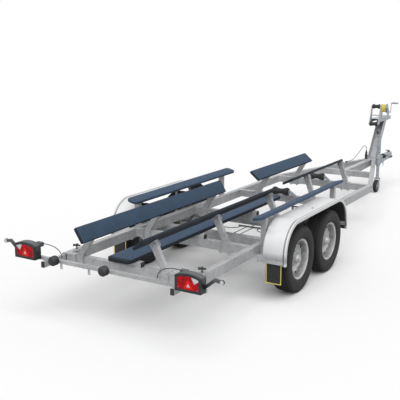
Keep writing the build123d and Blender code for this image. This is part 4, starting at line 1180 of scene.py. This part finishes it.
# Bolts in the winch post's web, looking back between its flanges
for share in web_bolt_shares:
    web_y = ahead(post_foot_ahead + post_run * share)
    frame_bolts.append(((0, web_y - web_set_back, post_foot_z + post_rise * share), web_facing))
bolt_down("frame_bolts", "chassis", "bright_zinc", frame_bolt_size, frame_bolts)

# Small bolts through the flaps
flap_bolts = []
for x in flap_bolt_x:
    for side in (-1, 1):
        flap_bolts.append(((side * x, flap_low.y, flap_high.z - flap_bolt_drop), (0, -1, 0)))
bolt_down("flap_bolts", "chassis", "black_plastic", flap_bolt_size, flap_bolts)

# Bolts of the light board: under the bar and through the number-plate tabs
bar_low, bar_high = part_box("light_bar")
board_bolts = []
for x in bar_bolt_x:
    board_bolts.append(((x, (bar_low.y + bar_high.y) / 2, bar_high.z - bar_bolt_drop), (0, 0, -1)))
for x in tab_bolt_x:
    board_bolts.append(((x, bar_low.y, bar_high.z - tab_bolt_drop), (0, -1, 0)))
bolt_down("light_board_bolts", "light_board", "bright_zinc", board_bolt_size, board_bolts)


def wound_strap():
    """The strap on its drum round the X axis, its turns showing as rings at both edges."""
    low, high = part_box("winch_strap")
    outer = (high.z - low.z) / 2
    half = (high.x - low.x) / 2
    section = []
    for turn in range(strap_turns):
        radius = strap_core + (outer - strap_core) * turn / (strap_turns - 1)
        section.append((half - strap_edge, radius - strap_ply * 0.45))
        section.append((half, radius))
    section += [(half * 0.6, outer - strap_crown), (0, outer)]
    strap = turned_across(both_halves(section), strap_steps)
    strap.data.transform(Matrix.Translation((low + high) / 2))
    return strap


settle(wound_strap(), "wound_strap", "winch_drum", "yellow_webbing", "winch_strap")


def ridged_grip(radius, length, ridges, flange):
    """A hand grip along +Z from the origin: a flange, rounded ridges and a domed end."""
    section = [(0, 0), (flange, 0), (flange, grip_flange), (radius, grip_neck)]
    pitch = (length - grip_ends) / ridges
    for ridge in range(ridges):
        start = grip_neck + pitch * ridge
        section.append((radius, start + pitch * 0.55))
        section.append((radius * 0.9, start + pitch * 0.75))
        section.append((radius, start + pitch))
    section += [(radius * 0.85, length - grip_dome), (radius * 0.45, length), (0, length)]
    return turned_up(section, grip_steps)


# Grips of the winch crank, the jockey wheel's crank and the handbrake
crank_axis = joint_places["winch_crank_spin"]
crank_grip = crank_axis + crank_throw * Vector((0, cos(crank_lean), sin(crank_lean)))
crank_grip.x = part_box("winch_crank")[1].x - crank_grip_back
grip = scatter(ridged_grip(*crank_grip_size), [standing_at(crank_grip, (1, 0, 0))])
settle(grip, "crank_grip", "winch_crank", "bright_zinc")

jockey_low, jockey_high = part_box("jockey_tube")
jockey_middle_x = (jockey_low.x + jockey_high.x) / 2
jockey_grip = (jockey_middle_x, jockey_low.y + jockey_grip_in, jockey_high.z - jockey_grip_drop)
grip = scatter(ridged_grip(*jockey_grip_size), [Matrix.Translation(jockey_grip)])
settle(grip, "jockey_crank_grip", "chassis", "black_plastic")

lever_low, lever_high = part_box("handbrake_lever")
lever_grip = ((lever_low.x + lever_high.x) / 2, lever_high.y - lever_grip_back, lever_z)
grip = scatter(ridged_grip(*lever_grip_size), [standing_at(lever_grip, (0, 1, 0))])
settle(grip, "handbrake_grip", "chassis", "black_plastic")


def jockey_hub():
    """The pale hub of the jockey wheel on both sides, round the X axis."""
    half = jockey_wheel_half + jockey_hub_proud
    section = both_halves([(half + out, radius) for out, radius in jockey_hub_section])
    return turned_across(section, hub_steps)


hub = scatter(jockey_hub(), [Matrix.Translation(joint_places["jockey_wheel_spin"])])
settle(hub, "jockey_wheel_hub", "jockey_wheel", "wheel_silver")

# Camera at the photo's place
camera_data = bpy.data.cameras.new("photo_camera")
camera_data.lens = photo_lens
camera_data.sensor_width = photo_sensor
camera = bpy.data.objects.new("photo_camera", camera_data)
camera.location = camera_place
camera.rotation_euler = (camera_tilt, 0, camera_turn)
bpy.context.collection.objects.link(camera)
bpy.context.scene.camera = camera

# Pale floor, white to the camera and greyer to the light that it throws back
deselect()
bpy.ops.mesh.primitive_plane_add(size=floor_size)
studio_floor = bpy.context.object
studio_floor.name = "floor"
floor_material, floor_shader = finish("floor_pale", Roughness=0.9)[:2]
floor_rays = floor_material.node_tree.nodes.new("ShaderNodeLightPath")
floor_seen = Socket(floor_material.node_tree, floor_rays.outputs["Is Camera Ray"])
feed(floor_shader, Base_Color=floor_seen.mix(floor_lit, floor_white))
studio_floor.data.materials.append(floor_material)

# Soft sky, white where it is seen or mirrored, and a broad key light
studio = bpy.data.worlds.new("studio")
studio.use_nodes = True
sky = studio.node_tree.nodes["Background"]
sky.inputs["Color"].default_value = (1, 1, 1, 1)
rays = studio.node_tree.nodes.new("ShaderNodeLightPath")
seen = Socket(studio.node_tree, rays.outputs["Is Camera Ray"])
seen = seen + Socket(studio.node_tree, rays.outputs["Is Glossy Ray"])
seen = seen + Socket(studio.node_tree, rays.outputs["Is Transmission Ray"])
strength = sky_light + sky_white * seen.spread(0, 1)
studio.node_tree.links.new(strength.link, sky.inputs["Strength"])
bpy.context.scene.world = studio

key_data = bpy.data.lights.new("key", "SUN")
key_data.energy = key_strength
key_data.angle = key_softness
key = bpy.data.objects.new("key", key_data)
key.location = key_place
key.rotation_euler = (-key_place).to_track_quat("-Z", "Y").to_euler()
bpy.context.collection.objects.link(key)
bpy.context.scene.view_settings.view_transform = "Standard"
